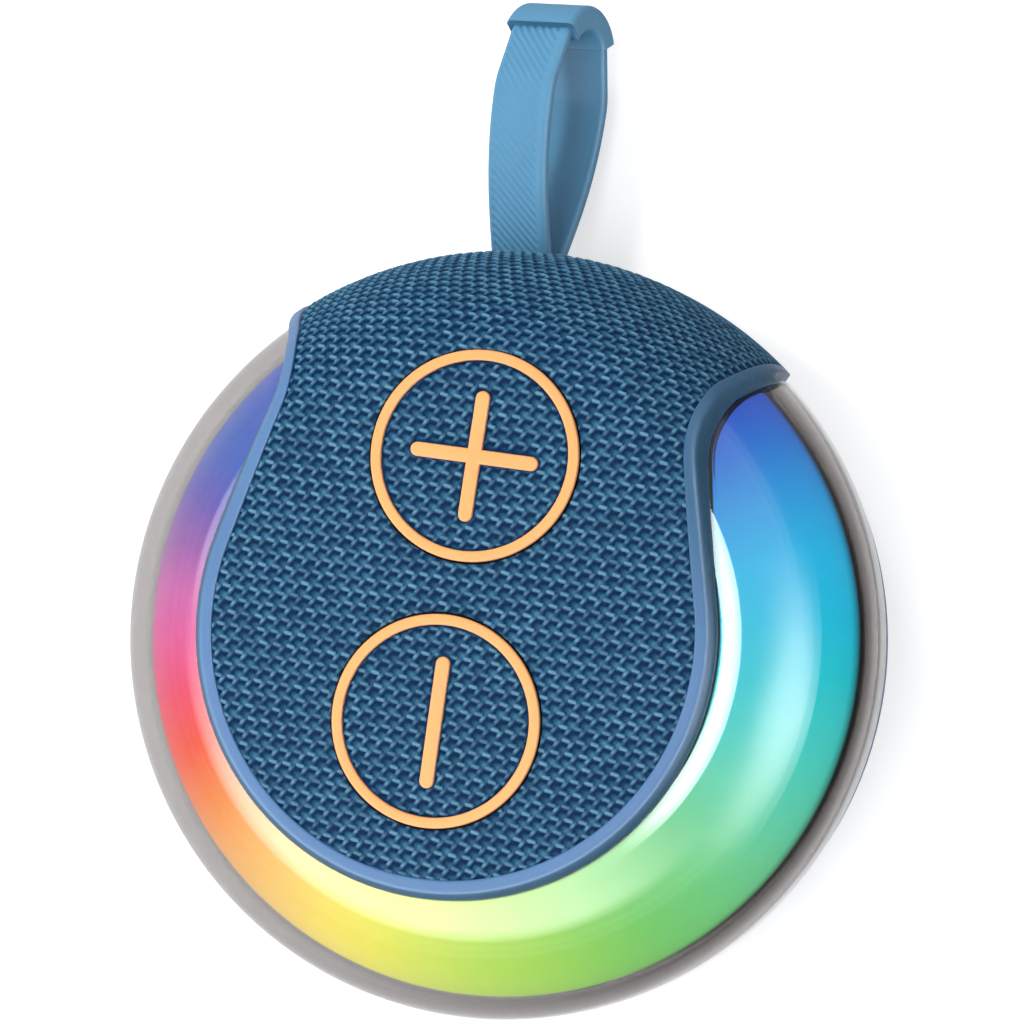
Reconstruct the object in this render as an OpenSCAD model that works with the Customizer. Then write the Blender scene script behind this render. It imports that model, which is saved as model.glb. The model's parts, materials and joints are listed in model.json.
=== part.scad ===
/* [Body] */
// Radius of the clear light ring at its widest band
ring_r = 50; // [48:0.5:54]
// Height of the rear housing, from the table to the light ring
rear_h = 16; // [15.5:0.5:22]
// Height of the straight band at the foot of the light ring
band_h = 4; // [2:0.5:6]
// Radius of the light ring's front curve, seen in section
ring_arc_r = 32; // [31:0.5:34]
// Wall of the clear light ring
cover_t = 2.2; // [1.6:0.1:2.6]

/* [Crown] */
// How far the crown stands proud of the light ring at the widest band
crown_proud = 1; // [0.6:0.1:1.6]
// Radius of the crown's long side curve, seen in section
crown_rim_arc = 42; // [40:1:46]
// Radius of the crown's shoulder curve, seen in section
shoulder_arc = 15; // [14:0.5:16]
// Height of the panel's edge above the band
shoulder_h = 30.2; // [29.8:0.2:31]
// Radius of the panel's shallow dome
dome_r = 640; // [400:20:900]
// Wall of the front frame
frame_t = 3.4; // [3.2:0.1:3.8]
// Radius of the rounded outer edge of the front frame
edge_round = 0.7; // [0.4:0.1:1]

/* [Panel outline] */
// Radius of the lower arc of the front frame
panel_r = 32.8; // [31.5:0.1:33.5]
// Sideways place of the neck curves' centres
neck_x = 41; // [40.5:0.1:42]
// Upward place of the neck curves' centres
neck_y = 28; // [27:0.2:29]
// Radius of the neck curves
neck_r = 13.5; // [13:0.1:14]
// Width of the bare trim around the fabric
trim_w = 2; // [1.4:0.1:2.6]
// Width of the ledge that carries the grille plate
ledge_w = 2.2; // [1.6:0.1:2.6]
// Thickness of the knitted fabric
fabric_t = 0.8; // [0.5:0.1:0.9]

/* [Volume buttons] */
// Outer radius of the orange mark rings
mark_r = 13.25; // [12:0.25:13.5]
// Width of the orange mark rings
mark_w = 1.35; // [1:0.05:1.8]
// Width of the orange bars
bar_w = 1.8; // [1.2:0.1:2.4]
// Length of the orange bars
bar_l = 16.4; // [12:0.2:18]
// Place of the plus button above the centre
plus_y = 21.9; // [21:0.1:22.4]
// Place of the minus button below the centre
minus_y = -11.3; // [-12:0.1:-10.6]
// Height of the orange marks above the crown
mark_h = 0.2; // [0.1:0.05:0.4]
// Travel of the volume buttons
button_travel = 0.35; // [0.2:0.05:0.4]

/* [Perforation] */
// Radius of one sound hole in the grille plate
sound_hole_r = 1.25; // [0.8:0.05:1.5]
// Distance between sound holes
sound_pitch = 4; // [3.8:0.1:6]

/* [Chassis] */
// Outer radius of the chassis tube inside the light ring
tube_r = 33; // [32:0.2:33.6]
// Wall of the chassis tube
tube_t = 1.8; // [1.4:0.1:2.4]
// Height of the driver deck above the table
deck_z = 37; // [35:0.5:38]
// Thickness of the driver deck and of the chassis flange
deck_t = 1.8; // [1.4:0.1:2.2]
// Thickness of the milky diffuser
diffuser_t = 1.4; // [1:0.1:2]
// Air gap between the clear ring and the diffuser
diffuser_gap = 1.4; // [1:0.1:2]
// Number of light chips
led_count = 22; // [12:1:28]

/* [Driver] */
// Radius of the driver's round flange
driver_r = 25; // [24:0.5:27]
// Distance from the driver's edge to the cone
cone_inset = 6.4; // [6:0.1:7]
// Radius of the voice coil
coil_r = 7; // [6:0.5:8]
// Radius of the magnet
magnet_r = 15; // [13:0.5:16]
// Height of the magnet
magnet_h = 6; // [4:0.5:6.5]
// Travel of the cone each way
cone_travel = 1; // [0.5:0.1:1.2]

/* [Rear housing] */
// How far the rear housing steps in from the light ring
rear_step = 1; // [0.6:0.1:1.4]
// Wall of the rear housing
wall = 2.2; // [1.8:0.1:2.6]
// Radius of the rear housing's rounded back edge
edge_r = 5; // [4:0.2:5.4]
// Height of the rubber foot pad below the back
foot_h = 1.2; // [0.8:0.1:1.4]
// Thickness of the seal between the housing halves
seal_t = 0.4; // [0.3:0.1:0.8]
// Distance from the rear housing's side to the axes of its screws
screw_inset = 8.2; // [8:0.1:9]

/* [Rear keys] */
// Radius of a rubber key
key_r = 3.2; // [2.6:0.1:3.4]
// How far a rubber key stands out of the wall
key_proud = 0.7; // [0.3:0.1:1.2]
// Height of the keys and of the charging port above the table
key_z = 9.7; // [9.6:0.1:10]
// Travel of a rubber key
key_travel = 0.4; // [0.2:0.05:0.5]

/* [Charging port] */
// Width of the port flap
flap_w = 13; // [12:0.5:14]
// Height of the port flap
flap_h = 6.8; // [6:0.2:7.2]
// Thickness of the port flap
flap_t = 1.2; // [1:0.1:1.4]

/* [Strap] */
// Sideways place of the strap
strap_x = -6.5; // [-9:0.5:0]
// Width of the strap band
strap_w = 9; // [7:0.2:10]
// Thickness of the strap band
strap_t = 2; // [1.6:0.1:2.4]
// Length of the strap beyond the crown
strap_l = 32.5; // [28:0.5:44]
// Depth of the loop where it is widest
loop_depth = 16.6; // [13:0.2:17]
// Depth of the loop at its foot
loop_foot = 6.4; // [6:0.2:8]
// Twist of the loop about its own length
strap_twist = 17; // [0:1:20]
// Radius of the steel strap pin
pin_r = 1; // [0.8:0.1:1.4]

/* [Clearances] */
// Gap between fitted pieces that don't move
fit_gap = 0.15; // [0.05:0.05:0.25]
// Gap around pieces that move
run_gap = 0.25; // [0.2:0.05:0.35]
// Radial clearance of the strap on its pin
pin_gap = 0.05; // [0.02:0.01:0.1]

/* [Hidden] */

// Faces per turn of round things, and steps along the crown's three arcs
$fn = 96;
side_steps = 9;
shoulder_steps = 10;
dome_steps = 3;
big = 200;

// Section of the light ring and of the crown, as radius and height
rear_r = ring_r - rear_step;
arc_z = rear_h + band_h;
ring_c = ring_r - ring_arc_r;
crown_r = ring_r + crown_proud;
rim_c = crown_r - crown_rim_arc;
crown_a = asin((shoulder_h - shoulder_arc) / (crown_rim_arc - shoulder_arc));
shoulder_c = rim_c + (crown_rim_arc - shoulder_arc) * cos(crown_a);
shoulder_z = arc_z + shoulder_h - shoulder_arc;
dome_z = shoulder_z - sqrt(pow(dome_r - shoulder_arc, 2) - shoulder_c * shoulder_c);
dome_a = atan2(shoulder_z - dome_z, shoulder_c);
apex_z = dome_z + dome_r;

// Direction of the straight flanks between the lower arc and the neck curves
flank_a = atan2(neck_y, neck_x) - acos((panel_r + neck_r) / norm([neck_x, neck_y]));
// The flanks' ends reach this far into the arcs, so that they cross them cleanly
flank_bite = 0.02;

// Depths of the layers under the crown's surface
fabric_d0 = 0.1;
fabric_d1 = fabric_d0 + fabric_t;
grille_d0 = fabric_d1 + 0.1;
grille_d1 = frame_t - 0.9;
grille_r = 38.4;
lip_h = 1.5;

// Volume buttons and what they press
button_hole_r = mark_r + run_gap;
button_cap_r = mark_r - 0.2;
button_flange_r = mark_r + 0.65;
button_flange_d0 = grille_d1 + 0.4;
button_flange_t = 0.8;
button_cap_t = 1.3;
stem_r = 2.2;
board_t = 1.2;
button_board_z = apex_z - 7.8;
switch_h = 1.8;
switch_stem_h = 0.5;
switch_w = 4.5;
press_gap = 0.05;
button_stem_z = button_board_z + board_t + switch_h + switch_stem_h + button_travel + press_gap;
post_x = 9;
post_y = (plus_y + minus_y) / 2;
post_r = 2.2;
small_screw_r = 0.8;
small_head_r = 1.5;
small_head_h = 1;
small_bore_gap = 0.03;

// Chassis, lights and driver, as heights above the table
flange_z1 = rear_h - 0.6;
flange_z0 = flange_z1 - deck_t;
flange_r = rear_r - wall - 0.5;
diffuser_d0 = cover_t + diffuser_gap;
led_strip_t = 0.3;
led_inset = 7.8;
led_r = flange_r - led_inset;
tube_notch_h = 7.2;
led_strip_w = 5;
led_l = 3.5;
led_w = 2.8;
led_h = 1.6;
driver_hole_r = driver_r - 2.6;
cone_r = driver_r - cone_inset;
basket_t = 1.2;
basket_neck_r = magnet_r - 1.4;
basket_neck_z = deck_z - 9.5;
plate_t = 2.5;
plate_r = magnet_r - 1;
magnet_z1 = basket_neck_z - plate_t;
magnet_z0 = magnet_z1 - magnet_h;
coil_gap = 0.4;
coil_t = 0.5;
coil_z0 = magnet_z1 - 2;
cone_z0 = deck_z - 5.2;
cone_z1 = deck_z + basket_t;
cone_t = 0.6;
basket_inner_r = cone_r + 3.4;
driver_screw_n = 4;
driver_screw_pcr = driver_r - 1.3;

// Rear housing
screw_ring_r = rear_r - screw_inset;
floor_z = foot_h + wall;
rear_in_r = rear_r - wall;
rim_z = rear_h - seal_t;
foot_r = rear_r - edge_r - 7;
foot_bed = 0.8;
foot_groove = 0.5;
foot_groove_pitch = 5;
boss_angles = [28, 152, 235, 305];
boss_r = 3;
screw_r = 1.3;
screw_head_r = 2.4;
screw_head_h = 1.6;
screw_l = 7;

// Main board and what stands on it
usb_w = 8.94;
usb_h = 3.26;
usb_l = 7.3;
main_board_t = 1.6;
main_board_z = key_z - usb_h / 2 - main_board_t;
main_board_top = main_board_z + main_board_t;
main_board_r = rear_in_r - 2.6;
main_board_y = 6;
port_tab_x = -28;
port_tab_y = 0.5;
board_post_x = 24;
board_post_y = 12;
board_post_r = 2.4;

// Rear keys and the port, as angles round the axis
key_angles = [115, 128, 141];
port_a = 169;
key_flange_r = key_r + 0.7;
key_flange_t = 0.8;
key_flange_x = rear_in_r - 0.5;
key_switch_x = key_flange_x - key_flange_t - key_travel - press_gap - 0.3;
key_stem_l = 0.8;
facet_x = rear_r - 1;
facet_w = 19;
port_boss_t = 3.6;
port_boss_h = 8.4;
flap_gap = 0.15;
flap_x = facet_x - flap_t;
port_floor_x = flap_x - flap_gap;
port_w = 9.6;
port_h = 4;
plug_w = 7.4;
plug_h = 2.2;
plug_l = 0.9;
usb_x = facet_x - port_boss_t - 0.3;

// Battery
cell_w = 50;
cell_d = 33;
cell_h = 8;
cell_y = -12.5;
pad_t = 0.5;

// Strap
strap_pin_y = 45.5;
strap_pin_z = 10.3;
barrel_r = pin_r + 2;
neck_half = 3;
slot_w = strap_w + 0.6;
slot_low = 5.5;
slot_high = 4.5;
loop_y = crown_r + 1.6;
loop_peak = strap_l * 0.62;
loop_steps = 6;
loop_swell = loop_depth - loop_foot;
loop_top_r = loop_depth / 2 - 1.8;
cheek_w = 3;
cheek_d = 4.2;
cheek_top = strap_pin_z + pin_r + 1.4;
sleeve_t = 0.7;
sleeve_l = 3.8;
pin_l = slot_w + 2 * cheek_w - 0.6;

// Points along an arc, in n straight steps
function arc_points(centre, radius, a0, a1, n) =
    [for (k = [0:n]) centre + radius * [cos(a0 + (a1 - a0) * k / n), sin(a0 + (a1 - a0) * k / n)]];

// Filled section under the crown's surface, sunk by d: side curve, shoulder and dome, all tangent
module crown_area(d) {
    side = arc_points([rim_c, arc_z], crown_rim_arc - d, 0, crown_a, side_steps);
    shoulder_step = (dome_a - crown_a) / shoulder_steps;
    shoulder = arc_points([shoulder_c, shoulder_z], shoulder_arc - d,
                          crown_a + shoulder_step, dome_a, shoulder_steps - 1);
    dome_step = (90 - dome_a) / dome_steps;
    dome = arc_points([0, dome_z], dome_r - d, dome_a + dome_step, 90, dome_steps - 1);
    polygon(concat([[0, 0], [crown_r - d, 0]], side, shoulder, dome));
}

// Filled section under the light ring's surface, sunk by d
module ring_area(d) {
    intersection() {
        translate([ring_c, arc_z]) circle(r = ring_arc_r - d, $fn = 360);
        translate([ring_c, arc_z]) square([big, big]);
    }
    square([ring_r - d, arc_z]);
    square([ring_c, arc_z + ring_arc_r - d]);
}

module crown_solid(d) {
    rotate_extrude($fn = 180) crown_area(d);
}

module crown_shell(d0, d1) {
    rotate_extrude($fn = 180) difference() {
        crown_area(d0);
        crown_area(d1);
    }
}

module ring_shell(d0, d1) {
    rotate_extrude($fn = 180) difference() {
        ring_area(d0);
        ring_area(d1);
    }
}

// Keyhole outline of the front frame, drawn in by inset
module keyhole(inset) {
    lower_r = panel_r - inset;
    curve_r = neck_r + inset;
    low = (lower_r - flank_bite) * [cos(flank_a), sin(flank_a)];
    high = [neck_x, neck_y] - (curve_r - flank_bite) * [cos(flank_a), sin(flank_a)];
    difference() {
        union() {
            circle(r = lower_r, $fn = 180);
            polygon([low, high, [neck_x, high[1]], [neck_x, 2 * neck_x], [-neck_x, 2 * neck_x],
                     [-neck_x, high[1]], [-high[0], high[1]], [-low[0], low[1]]]);
        }
        for (side = [-1, 1])
            translate([side * neck_x, neck_y]) circle(r = curve_r, $fn = 120);
    }
}

// Keyhole prism that starts at height z0
module keyhole_prism(inset, z0) {
    translate([0, 0, z0]) linear_extrude(big) keyhole(inset);
}

module tube(r1, r0, z0, z1) {
    rotate_extrude() translate([r0, z0]) square([r1 - r0, z1 - z0]);
}

module disc(r, z0, z1) {
    translate([0, 0, z0]) cylinder(r = r, h = z1 - z0);
}

// Places children at the rear wall: +X outward, origin at the axis and the key height
module at_wall(a) {
    rotate([0, 0, a]) translate([0, 0, key_z]) children();
}

module rod_x(r, x0, x1) {
    translate([x0, 0, 0]) rotate([0, 90, 0]) cylinder(r = r, h = x1 - x0);
}

// Blue bezel and crown with a rounded edge, a bed for the fabric and a window for the grille
module front_frame() {
    steps = 3;
    color("steelblue") difference() {
        for (k = [1:steps]) {
            a = 90 * k / steps;
            intersection() {
                crown_shell(edge_round * (1 - cos(90 - a)), frame_t);
                keyhole_prism(edge_round * (1 - cos(a - 90 / steps)), rear_h);
            }
        }
        intersection() {
            crown_shell(-1, grille_d0);
            keyhole_prism(trim_w, rear_h + lip_h);
        }
        intersection() {
            crown_shell(grille_d0 - 0.2, grille_d1 + 0.1);
            keyhole_prism(trim_w + fit_gap, rear_h);
            disc(grille_r + fit_gap, rear_h, big);
        }
        intersection() {
            crown_shell(grille_d1 - 0.1, frame_t + 1);
            keyhole_prism(trim_w + ledge_w, rear_h);
            disc(grille_r - ledge_w, rear_h, big);
        }
    }
}

// Knitted skin over the panel and the crown, open at the two buttons
module fabric_cover() {
    color("midnightblue") difference() {
        intersection() {
            crown_shell(fabric_d0, fabric_d1);
            keyhole_prism(trim_w + fit_gap, rear_h + lip_h + fit_gap);
        }
        for (y = [plus_y, minus_y])
            translate([0, y, 0]) disc(button_hole_r, rear_h, big);
    }
}

// One staggered row of sound holes
module sound_row(row) {
    count = ceil(grille_r / sound_pitch);
    y = row * sound_pitch * sin(60);
    for (k = [-count:count]) {
        x = (k + (row % 2 == 0 ? 0 : 0.5)) * sound_pitch;
        clear_of_buttons = min(norm([x, y - plus_y]), norm([x, y - minus_y])) > button_flange_r + 2;
        clear_of_posts = norm([abs(x) - post_x, y - post_y]) > post_r + sound_hole_r + 0.5;
        inside_arc = norm([x, y]) < panel_r - trim_w - ledge_w - sound_hole_r - 0.3;
        neck_clear = neck_r + trim_w + ledge_w + sound_hole_r;
        inside_neck = y < 0 || norm([abs(x) - neck_x, y - neck_y]) > neck_clear;
        if (clear_of_buttons && clear_of_posts && inside_arc && inside_neck)
            translate([x, y]) circle(r = sound_hole_r, $fn = 24);
    }
}

// Perforated plate that carries the fabric, with posts for the button board
module grille_plate() {
    rows = ceil(grille_r / sound_pitch / sin(60));
    color("dimgray") difference() {
        union() {
            intersection() {
                crown_shell(grille_d0, grille_d1);
                keyhole_prism(trim_w + 2 * fit_gap, rear_h);
                disc(grille_r, rear_h, big);
            }
            for (side = [-1, 1])
                translate([side * post_x, post_y, 0])
                    disc(post_r, button_board_z + board_t, apex_z - grille_d1 + 0.3);
        }
        for (y = [plus_y, minus_y])
            translate([0, y, 0]) disc(button_hole_r, rear_h, big);
        linear_extrude(big) for (row = [-rows:rows]) sound_row(row);
        for (side = [-1, 1])
            translate([side * post_x, post_y, 0])
                disc(small_screw_r, button_board_z, apex_z - grille_d1 - 0.4);
    }
}

module bar(length) {
    square([bar_w, length - bar_w], center = true);
    for (end = [-1, 1])
        translate([0, end * (length - bar_w) / 2]) circle(r = bar_w / 2, $fn = 32);
}

module mark_outline(plus) {
    difference() {
        circle(r = mark_r);
        circle(r = mark_r - mark_w);
    }
    bar(bar_l);
    if (plus) rotate(90) bar(bar_l);
}

// Raised orange ring and sign of one button
module button_mark(y, plus) {
    color("sandybrown") intersection() {
        crown_shell(-mark_h, 0.3);
        translate([0, y, rear_h]) linear_extrude(big) mark_outline(plus);
    }
}

// Fabric disc that covers one button
module button_fabric(y) {
    color("midnightblue") intersection() {
        crown_shell(0.3, fabric_d1);
        translate([0, y, 0]) disc(mark_r, rear_h, big);
    }
}

// Rigid cap with a retaining flange and a stem down to its switch
module button_cap(y) {
    color("dimgray") {
        intersection() {
            crown_shell(fabric_d1, fabric_d1 + button_cap_t);
            translate([0, y, 0]) disc(button_cap_r, rear_h, big);
        }
        intersection() {
            crown_shell(fabric_d1 + button_cap_t - 0.1, button_flange_d0 + button_flange_t);
            translate([0, y, 0]) tube(button_cap_r, button_cap_r - 1.2, rear_h, big);
        }
        intersection() {
            crown_shell(button_flange_d0, button_flange_d0 + button_flange_t);
            translate([0, y, 0]) tube(button_flange_r, button_cap_r - 0.6, rear_h, big);
        }
        intersection() {
            crown_solid(fabric_d1 + button_cap_t - 0.1);
            translate([0, y, 0]) disc(stem_r, button_stem_z, big);
        }
    }
}

// Small circuit board behind the two volume buttons
module button_board() {
    color("darkgreen") translate([0, 0, button_board_z]) difference() {
        linear_extrude(board_t) {
            translate([-5, minus_y - 6]) square([10, plus_y - minus_y + 12]);
            translate([-post_x - 4, post_y - 3.5]) square([2 * post_x + 8, 7]);
        }
        for (side = [-1, 1])
            translate([side * post_x, post_y, 0]) disc(small_screw_r + 0.2, -1, board_t + 1);
    }
}

module button_switches() {
    z = button_board_z + board_t;
    color("black") for (y = [plus_y, minus_y]) {
        translate([-switch_w / 2, y - switch_w / 2, z]) cube([switch_w, switch_w, switch_h]);
        translate([0, y, 0]) disc(1.1, z + switch_h - 0.1, z + switch_h + switch_stem_h);
    }
}

module button_board_screws() {
    color("silver") for (side = [-1, 1]) translate([side * post_x, post_y, button_board_z]) {
        disc(small_head_r, -small_head_h, 0);
        disc(small_screw_r - small_bore_gap, -0.1, board_t + 3);
    }
}

// Clear ring with its open end under the crown
module light_cover() {
    color("lightcyan", 0.4) difference() {
        ring_shell(0, cover_t);
        disc(big, -1, rear_h);
        keyhole_prism(-fit_gap, -1);
    }
}

// Milky inner ring that spreads the light
module light_diffuser() {
    color("violet") difference() {
        ring_shell(diffuser_d0, diffuser_d0 + diffuser_t);
        disc(big, -1, flange_z1);
        keyhole_prism(-2 * fit_gap, -1);
        disc(tube_r + fit_gap, -1, big);
    }
}

module led_strip() {
    color("white") difference() {
        tube(led_r + led_strip_w / 2, led_r - led_strip_w / 2, flange_z1, flange_z1 + led_strip_t);
        keyhole_prism(-1, -1);
    }
}

module led_chips() {
    gap = 2 * atan2(neck_x - neck_r + 5, neck_y);
    z = flange_z1 + led_strip_t;
    color("lightyellow") for (k = [0:led_count - 1])
        rotate([0, 0, 90 + gap / 2 + (360 - gap) * (k + 0.5) / led_count])
            translate([led_r - led_w / 2, -led_l / 2, z]) cube([led_w, led_l, led_h]);
}

// Dark inner frame: tube, driver deck, light flange and four legs
module chassis() {
    leg_z = floor_z + fit_gap;
    color("dimgray") difference() {
        union() {
            intersection() {
                tube(tube_r, tube_r - tube_t, flange_z0, big);
                crown_solid(frame_t + fit_gap);
                rotate_extrude($fn = 180) ring_area(cover_t + fit_gap);
            }
            tube(tube_r - 0.5, driver_hole_r, deck_z - deck_t, deck_z);
            tube(flange_r, tube_r - tube_t, flange_z0, flange_z1);
            for (a = boss_angles)
                rotate([0, 0, a]) translate([screw_ring_r, 0, 0]) disc(boss_r, leg_z, flange_z0 + 0.5);
        }
        for (a = boss_angles)
            rotate([0, 0, a]) translate([screw_ring_r, 0, 0])
                disc(screw_r + small_bore_gap, 0, floor_z + screw_l);
        for (k = [0:driver_screw_n - 1])
            rotate([0, 0, 45 + 360 * k / driver_screw_n]) translate([driver_screw_pcr, 0, 0])
                disc(small_screw_r, deck_z - deck_t - 1, big);
        translate([strap_x - slot_w / 2 - 1, strap_pin_y - barrel_r - 2, flange_z0 - 1])
            cube([slot_w + 2, big, deck_t + 2]);
        translate([0, plus_y, 0]) disc(button_flange_r + 0.4, apex_z - tube_notch_h, big);
        for (a = key_angles)
            at_wall(a) rod_x(key_flange_r + 0.3, rear_in_r - 4, big);
        at_wall(port_a) translate([facet_x - port_boss_t - 0.3, -facet_w / 2 - 0.3, -big])
            cube([big, facet_w + 0.6, big + port_boss_h / 2 + 0.3]);
    }
}

// Filled section of the driver's basket
module basket_outline(d) {
    polygon([[0, basket_neck_z - 1], [basket_neck_r - d, basket_neck_z - 1],
             [basket_neck_r - d, basket_neck_z + 1.4], [driver_hole_r - 0.6 - d, deck_z - 3],
             [driver_hole_r - 0.6 - d, deck_z + 1], [0, deck_z + 1]]);
}

// Pressed basket with a flange, an open cone and four windows
module driver_basket() {
    windows = 4;
    color("darkslategray") difference() {
        union() {
            tube(driver_r, basket_inner_r, deck_z, deck_z + basket_t);
            rotate_extrude() difference() {
                basket_outline(0);
                basket_outline(basket_t);
            }
            tube(basket_neck_r, coil_r + coil_t + coil_gap + 1, basket_neck_z, basket_neck_z + basket_t);
        }
        disc(big, basket_neck_z - 2, basket_neck_z);
        for (k = [0:windows - 1])
            rotate([0, 0, 360 * k / windows]) translate([basket_neck_r - 3, -5, basket_neck_z + 2.4])
                cube([driver_r, 10, deck_z - basket_neck_z - 5.6]);
        for (k = [0:driver_screw_n - 1])
            rotate([0, 0, 45 + 360 * k / driver_screw_n]) translate([driver_screw_pcr, 0, 0])
                disc(small_screw_r + 0.15, deck_z - 1, deck_z + basket_t + 1);
    }
}

module driver_magnet() {
    color("black") tube(magnet_r, coil_r + 2.5, magnet_z0, magnet_z1);
}

// Back plate with the pole piece
module driver_yoke() {
    color("silver") {
        disc(plate_r, magnet_z0 - plate_t, magnet_z0);
        disc(coil_r - coil_t - coil_gap, magnet_z0 - 0.1, basket_neck_z);
    }
}

module driver_top_plate() {
    color("silver") tube(plate_r, coil_r + coil_gap, magnet_z1, basket_neck_z);
}

// Paper cone with its dust cap
module driver_cone() {
    color("dimgray") rotate_extrude() {
        polygon([[coil_r, cone_z0], [coil_r + cone_t, cone_z0], [cone_r, cone_z1 - 0.4], [cone_r, cone_z1],
                 [cone_r - 0.8, cone_z1], [coil_r, cone_z0 + 0.9]]);
        polygon([[0, cone_z0 + 2.6], [coil_r * 0.6, cone_z0 + 2], [coil_r, cone_z0 + 0.6], [coil_r, cone_z0],
                 [coil_r * 0.6, cone_z0 + 1.5], [0, cone_z0 + 2.1]]);
    }
}

module driver_coil() {
    color("peru") tube(coil_r, coil_r - coil_t, coil_z0, cone_z0);
}

// Half-round rubber roll between the cone and the basket
module driver_surround() {
    mid = (cone_r + basket_inner_r) / 2 + 0.1;
    roll = mid - cone_r + 0.15;
    color("black") rotate_extrude() intersection() {
        difference() {
            translate([mid, cone_z1]) circle(r = roll, $fn = 48);
            translate([mid, cone_z1]) circle(r = roll - 0.5, $fn = 48);
        }
        translate([0, cone_z1 + 0.02]) square([big, big]);
    }
}

module driver_spider() {
    spider_z = basket_neck_z + basket_t + 1.2;
    color("goldenrod") tube(basket_neck_r + 0.2, coil_r + 0.05, spider_z, spider_z + 0.4);
}

module driver_screws() {
    color("silver") for (k = [0:driver_screw_n - 1])
        rotate([0, 0, 45 + 360 * k / driver_screw_n]) translate([driver_screw_pcr, 0, 0]) {
            disc(1.2, deck_z + basket_t, deck_z + basket_t + small_head_h);
            disc(small_screw_r - small_bore_gap, deck_z - deck_t, deck_z + basket_t + 0.1);
        }
}

// Filled section of the rear housing, sunk by d
module rear_area(d) {
    translate([0, foot_h + d]) square([rear_r - edge_r, big]);
    translate([0, foot_h + edge_r]) square([rear_r - d, big]);
    translate([rear_r - edge_r, foot_h + edge_r]) circle(r = edge_r - d);
}

// Rear shell with the strap slot, key holes, port, foot bed and screw wells
module rear_housing() {
    color("darkslateblue") difference() {
        union() {
            intersection() {
                rotate_extrude($fn = 180) difference() {
                    rear_area(0);
                    rear_area(wall);
                }
                disc(big, 0, rim_z);
            }
            intersection() {
                rotate_extrude($fn = 180) rear_area(wall / 2);
                union() {
                    at_wall(port_a) translate([facet_x - port_boss_t, -facet_w / 2, -port_boss_h / 2])
                        cube([port_boss_t, facet_w, port_boss_h]);
                    for (side = [-1, 1])
                        translate([strap_x + side * (slot_w + cheek_w) / 2 - cheek_w / 2,
                                   strap_pin_y - cheek_d / 2, floor_z - 0.5])
                            cube([cheek_w, cheek_d + 3, cheek_top - floor_z + 0.5]);
                }
            }
            for (side = [-1, 1])
                translate([side * board_post_x, board_post_y, 0])
                    disc(board_post_r, floor_z - 0.5, main_board_z);
        }
        at_wall(port_a) {
            translate([facet_x, -facet_w, -facet_w]) cube([big, 2 * facet_w, 2 * facet_w]);
            translate([port_floor_x, -flap_w / 2 - flap_gap, -flap_h / 2 - flap_gap])
                cube([big, flap_w + 2 * flap_gap, flap_h + 2 * flap_gap]);
            translate([facet_x - port_boss_t - 1, -port_w / 2, -port_h / 2]) cube([big, port_w, port_h]);
        }
        for (a = key_angles)
            at_wall(a) rod_x(key_r + run_gap, rear_in_r - 4, big);
        translate([strap_x - slot_w / 2, strap_pin_y - cheek_d / 2 - 1, strap_pin_z - slot_low])
            cube([slot_w, big, slot_low + slot_high]);
        translate([strap_x, strap_pin_y, strap_pin_z]) rod_x(pin_r, -pin_l / 2, pin_l / 2);
        disc(foot_r + fit_gap, -1, foot_h + foot_bed);
        for (a = boss_angles)
            rotate([0, 0, a]) translate([screw_ring_r, 0, 0]) {
                disc(screw_r + 0.2, -1, floor_z + 1);
                disc(screw_head_r + 0.2, -1, foot_h + screw_head_h);
            }
        for (side = [-1, 1])
            translate([side * board_post_x, board_post_y, 0])
                disc(small_screw_r, floor_z, main_board_z + 1);
    }
}

module housing_seal() {
    color("black") tube(rear_r - 0.4, rear_in_r + 0.4, rim_z, rear_h);
}

module housing_screws() {
    color("silver") for (a = boss_angles)
        rotate([0, 0, a]) translate([screw_ring_r, 0, 0]) {
            disc(screw_head_r, foot_h + 0.2, foot_h + screw_head_h);
            disc(screw_r, foot_h + screw_head_h - 0.1, floor_z + screw_l - 0.5);
        }
}

// Round rubber pad with concentric grip grooves
module foot_pad() {
    color("black") difference() {
        disc(foot_r, 0, foot_h + foot_bed);
        for (r = [foot_r - 2 : -foot_groove_pitch : foot_groove_pitch])
            tube(r, r - 1, -1, foot_groove);
    }
}

// Half-moon circuit board behind the keys and the port
module main_board() {
    color("darkgreen") difference() {
        intersection() {
            disc(main_board_r, main_board_z, main_board_top);
            union() {
                translate([-big / 2, main_board_y, 0]) cube([big, big, big]);
                translate([port_tab_x - big, port_tab_y, 0]) cube([big, big, big]);
            }
        }
        for (a = boss_angles)
            rotate([0, 0, a]) translate([screw_ring_r, 0, 0]) disc(boss_r + 0.5, 0, big);
        translate([strap_x - slot_w / 2 - cheek_w - 0.6, strap_pin_y - barrel_r - 2.4, 0])
            cube([slot_w + 2 * cheek_w + 1.2, big, big]);
        for (side = [-1, 1])
            translate([side * board_post_x, board_post_y, 0]) disc(small_screw_r + 0.2, 0, big);
    }
}

// Screened radio module with its bare antenna end
module bluetooth_module() {
    color("silver") translate([14, 22, main_board_top]) {
        cube([13, 10, 0.8]);
        translate([0.5, 0.5, 0.8]) cube([9, 9, 1.6]);
    }
}

// Amplifier, charger chip, coil and battery connector
module board_chips() {
    color("black") translate([0, 0, main_board_top]) {
        translate([-4, 15, 0]) cube([8, 8, 1.2]);
        translate([-20, 16, 0]) cube([6, 6, 1]);
        translate([-12, 22, 0]) cube([5, 5, 2.4]);
        translate([4, 26, 0]) cube([7, 5, 2]);
        translate([-6, 8, 0]) cube([9, 4.5, 3.4]);
    }
}

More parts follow.
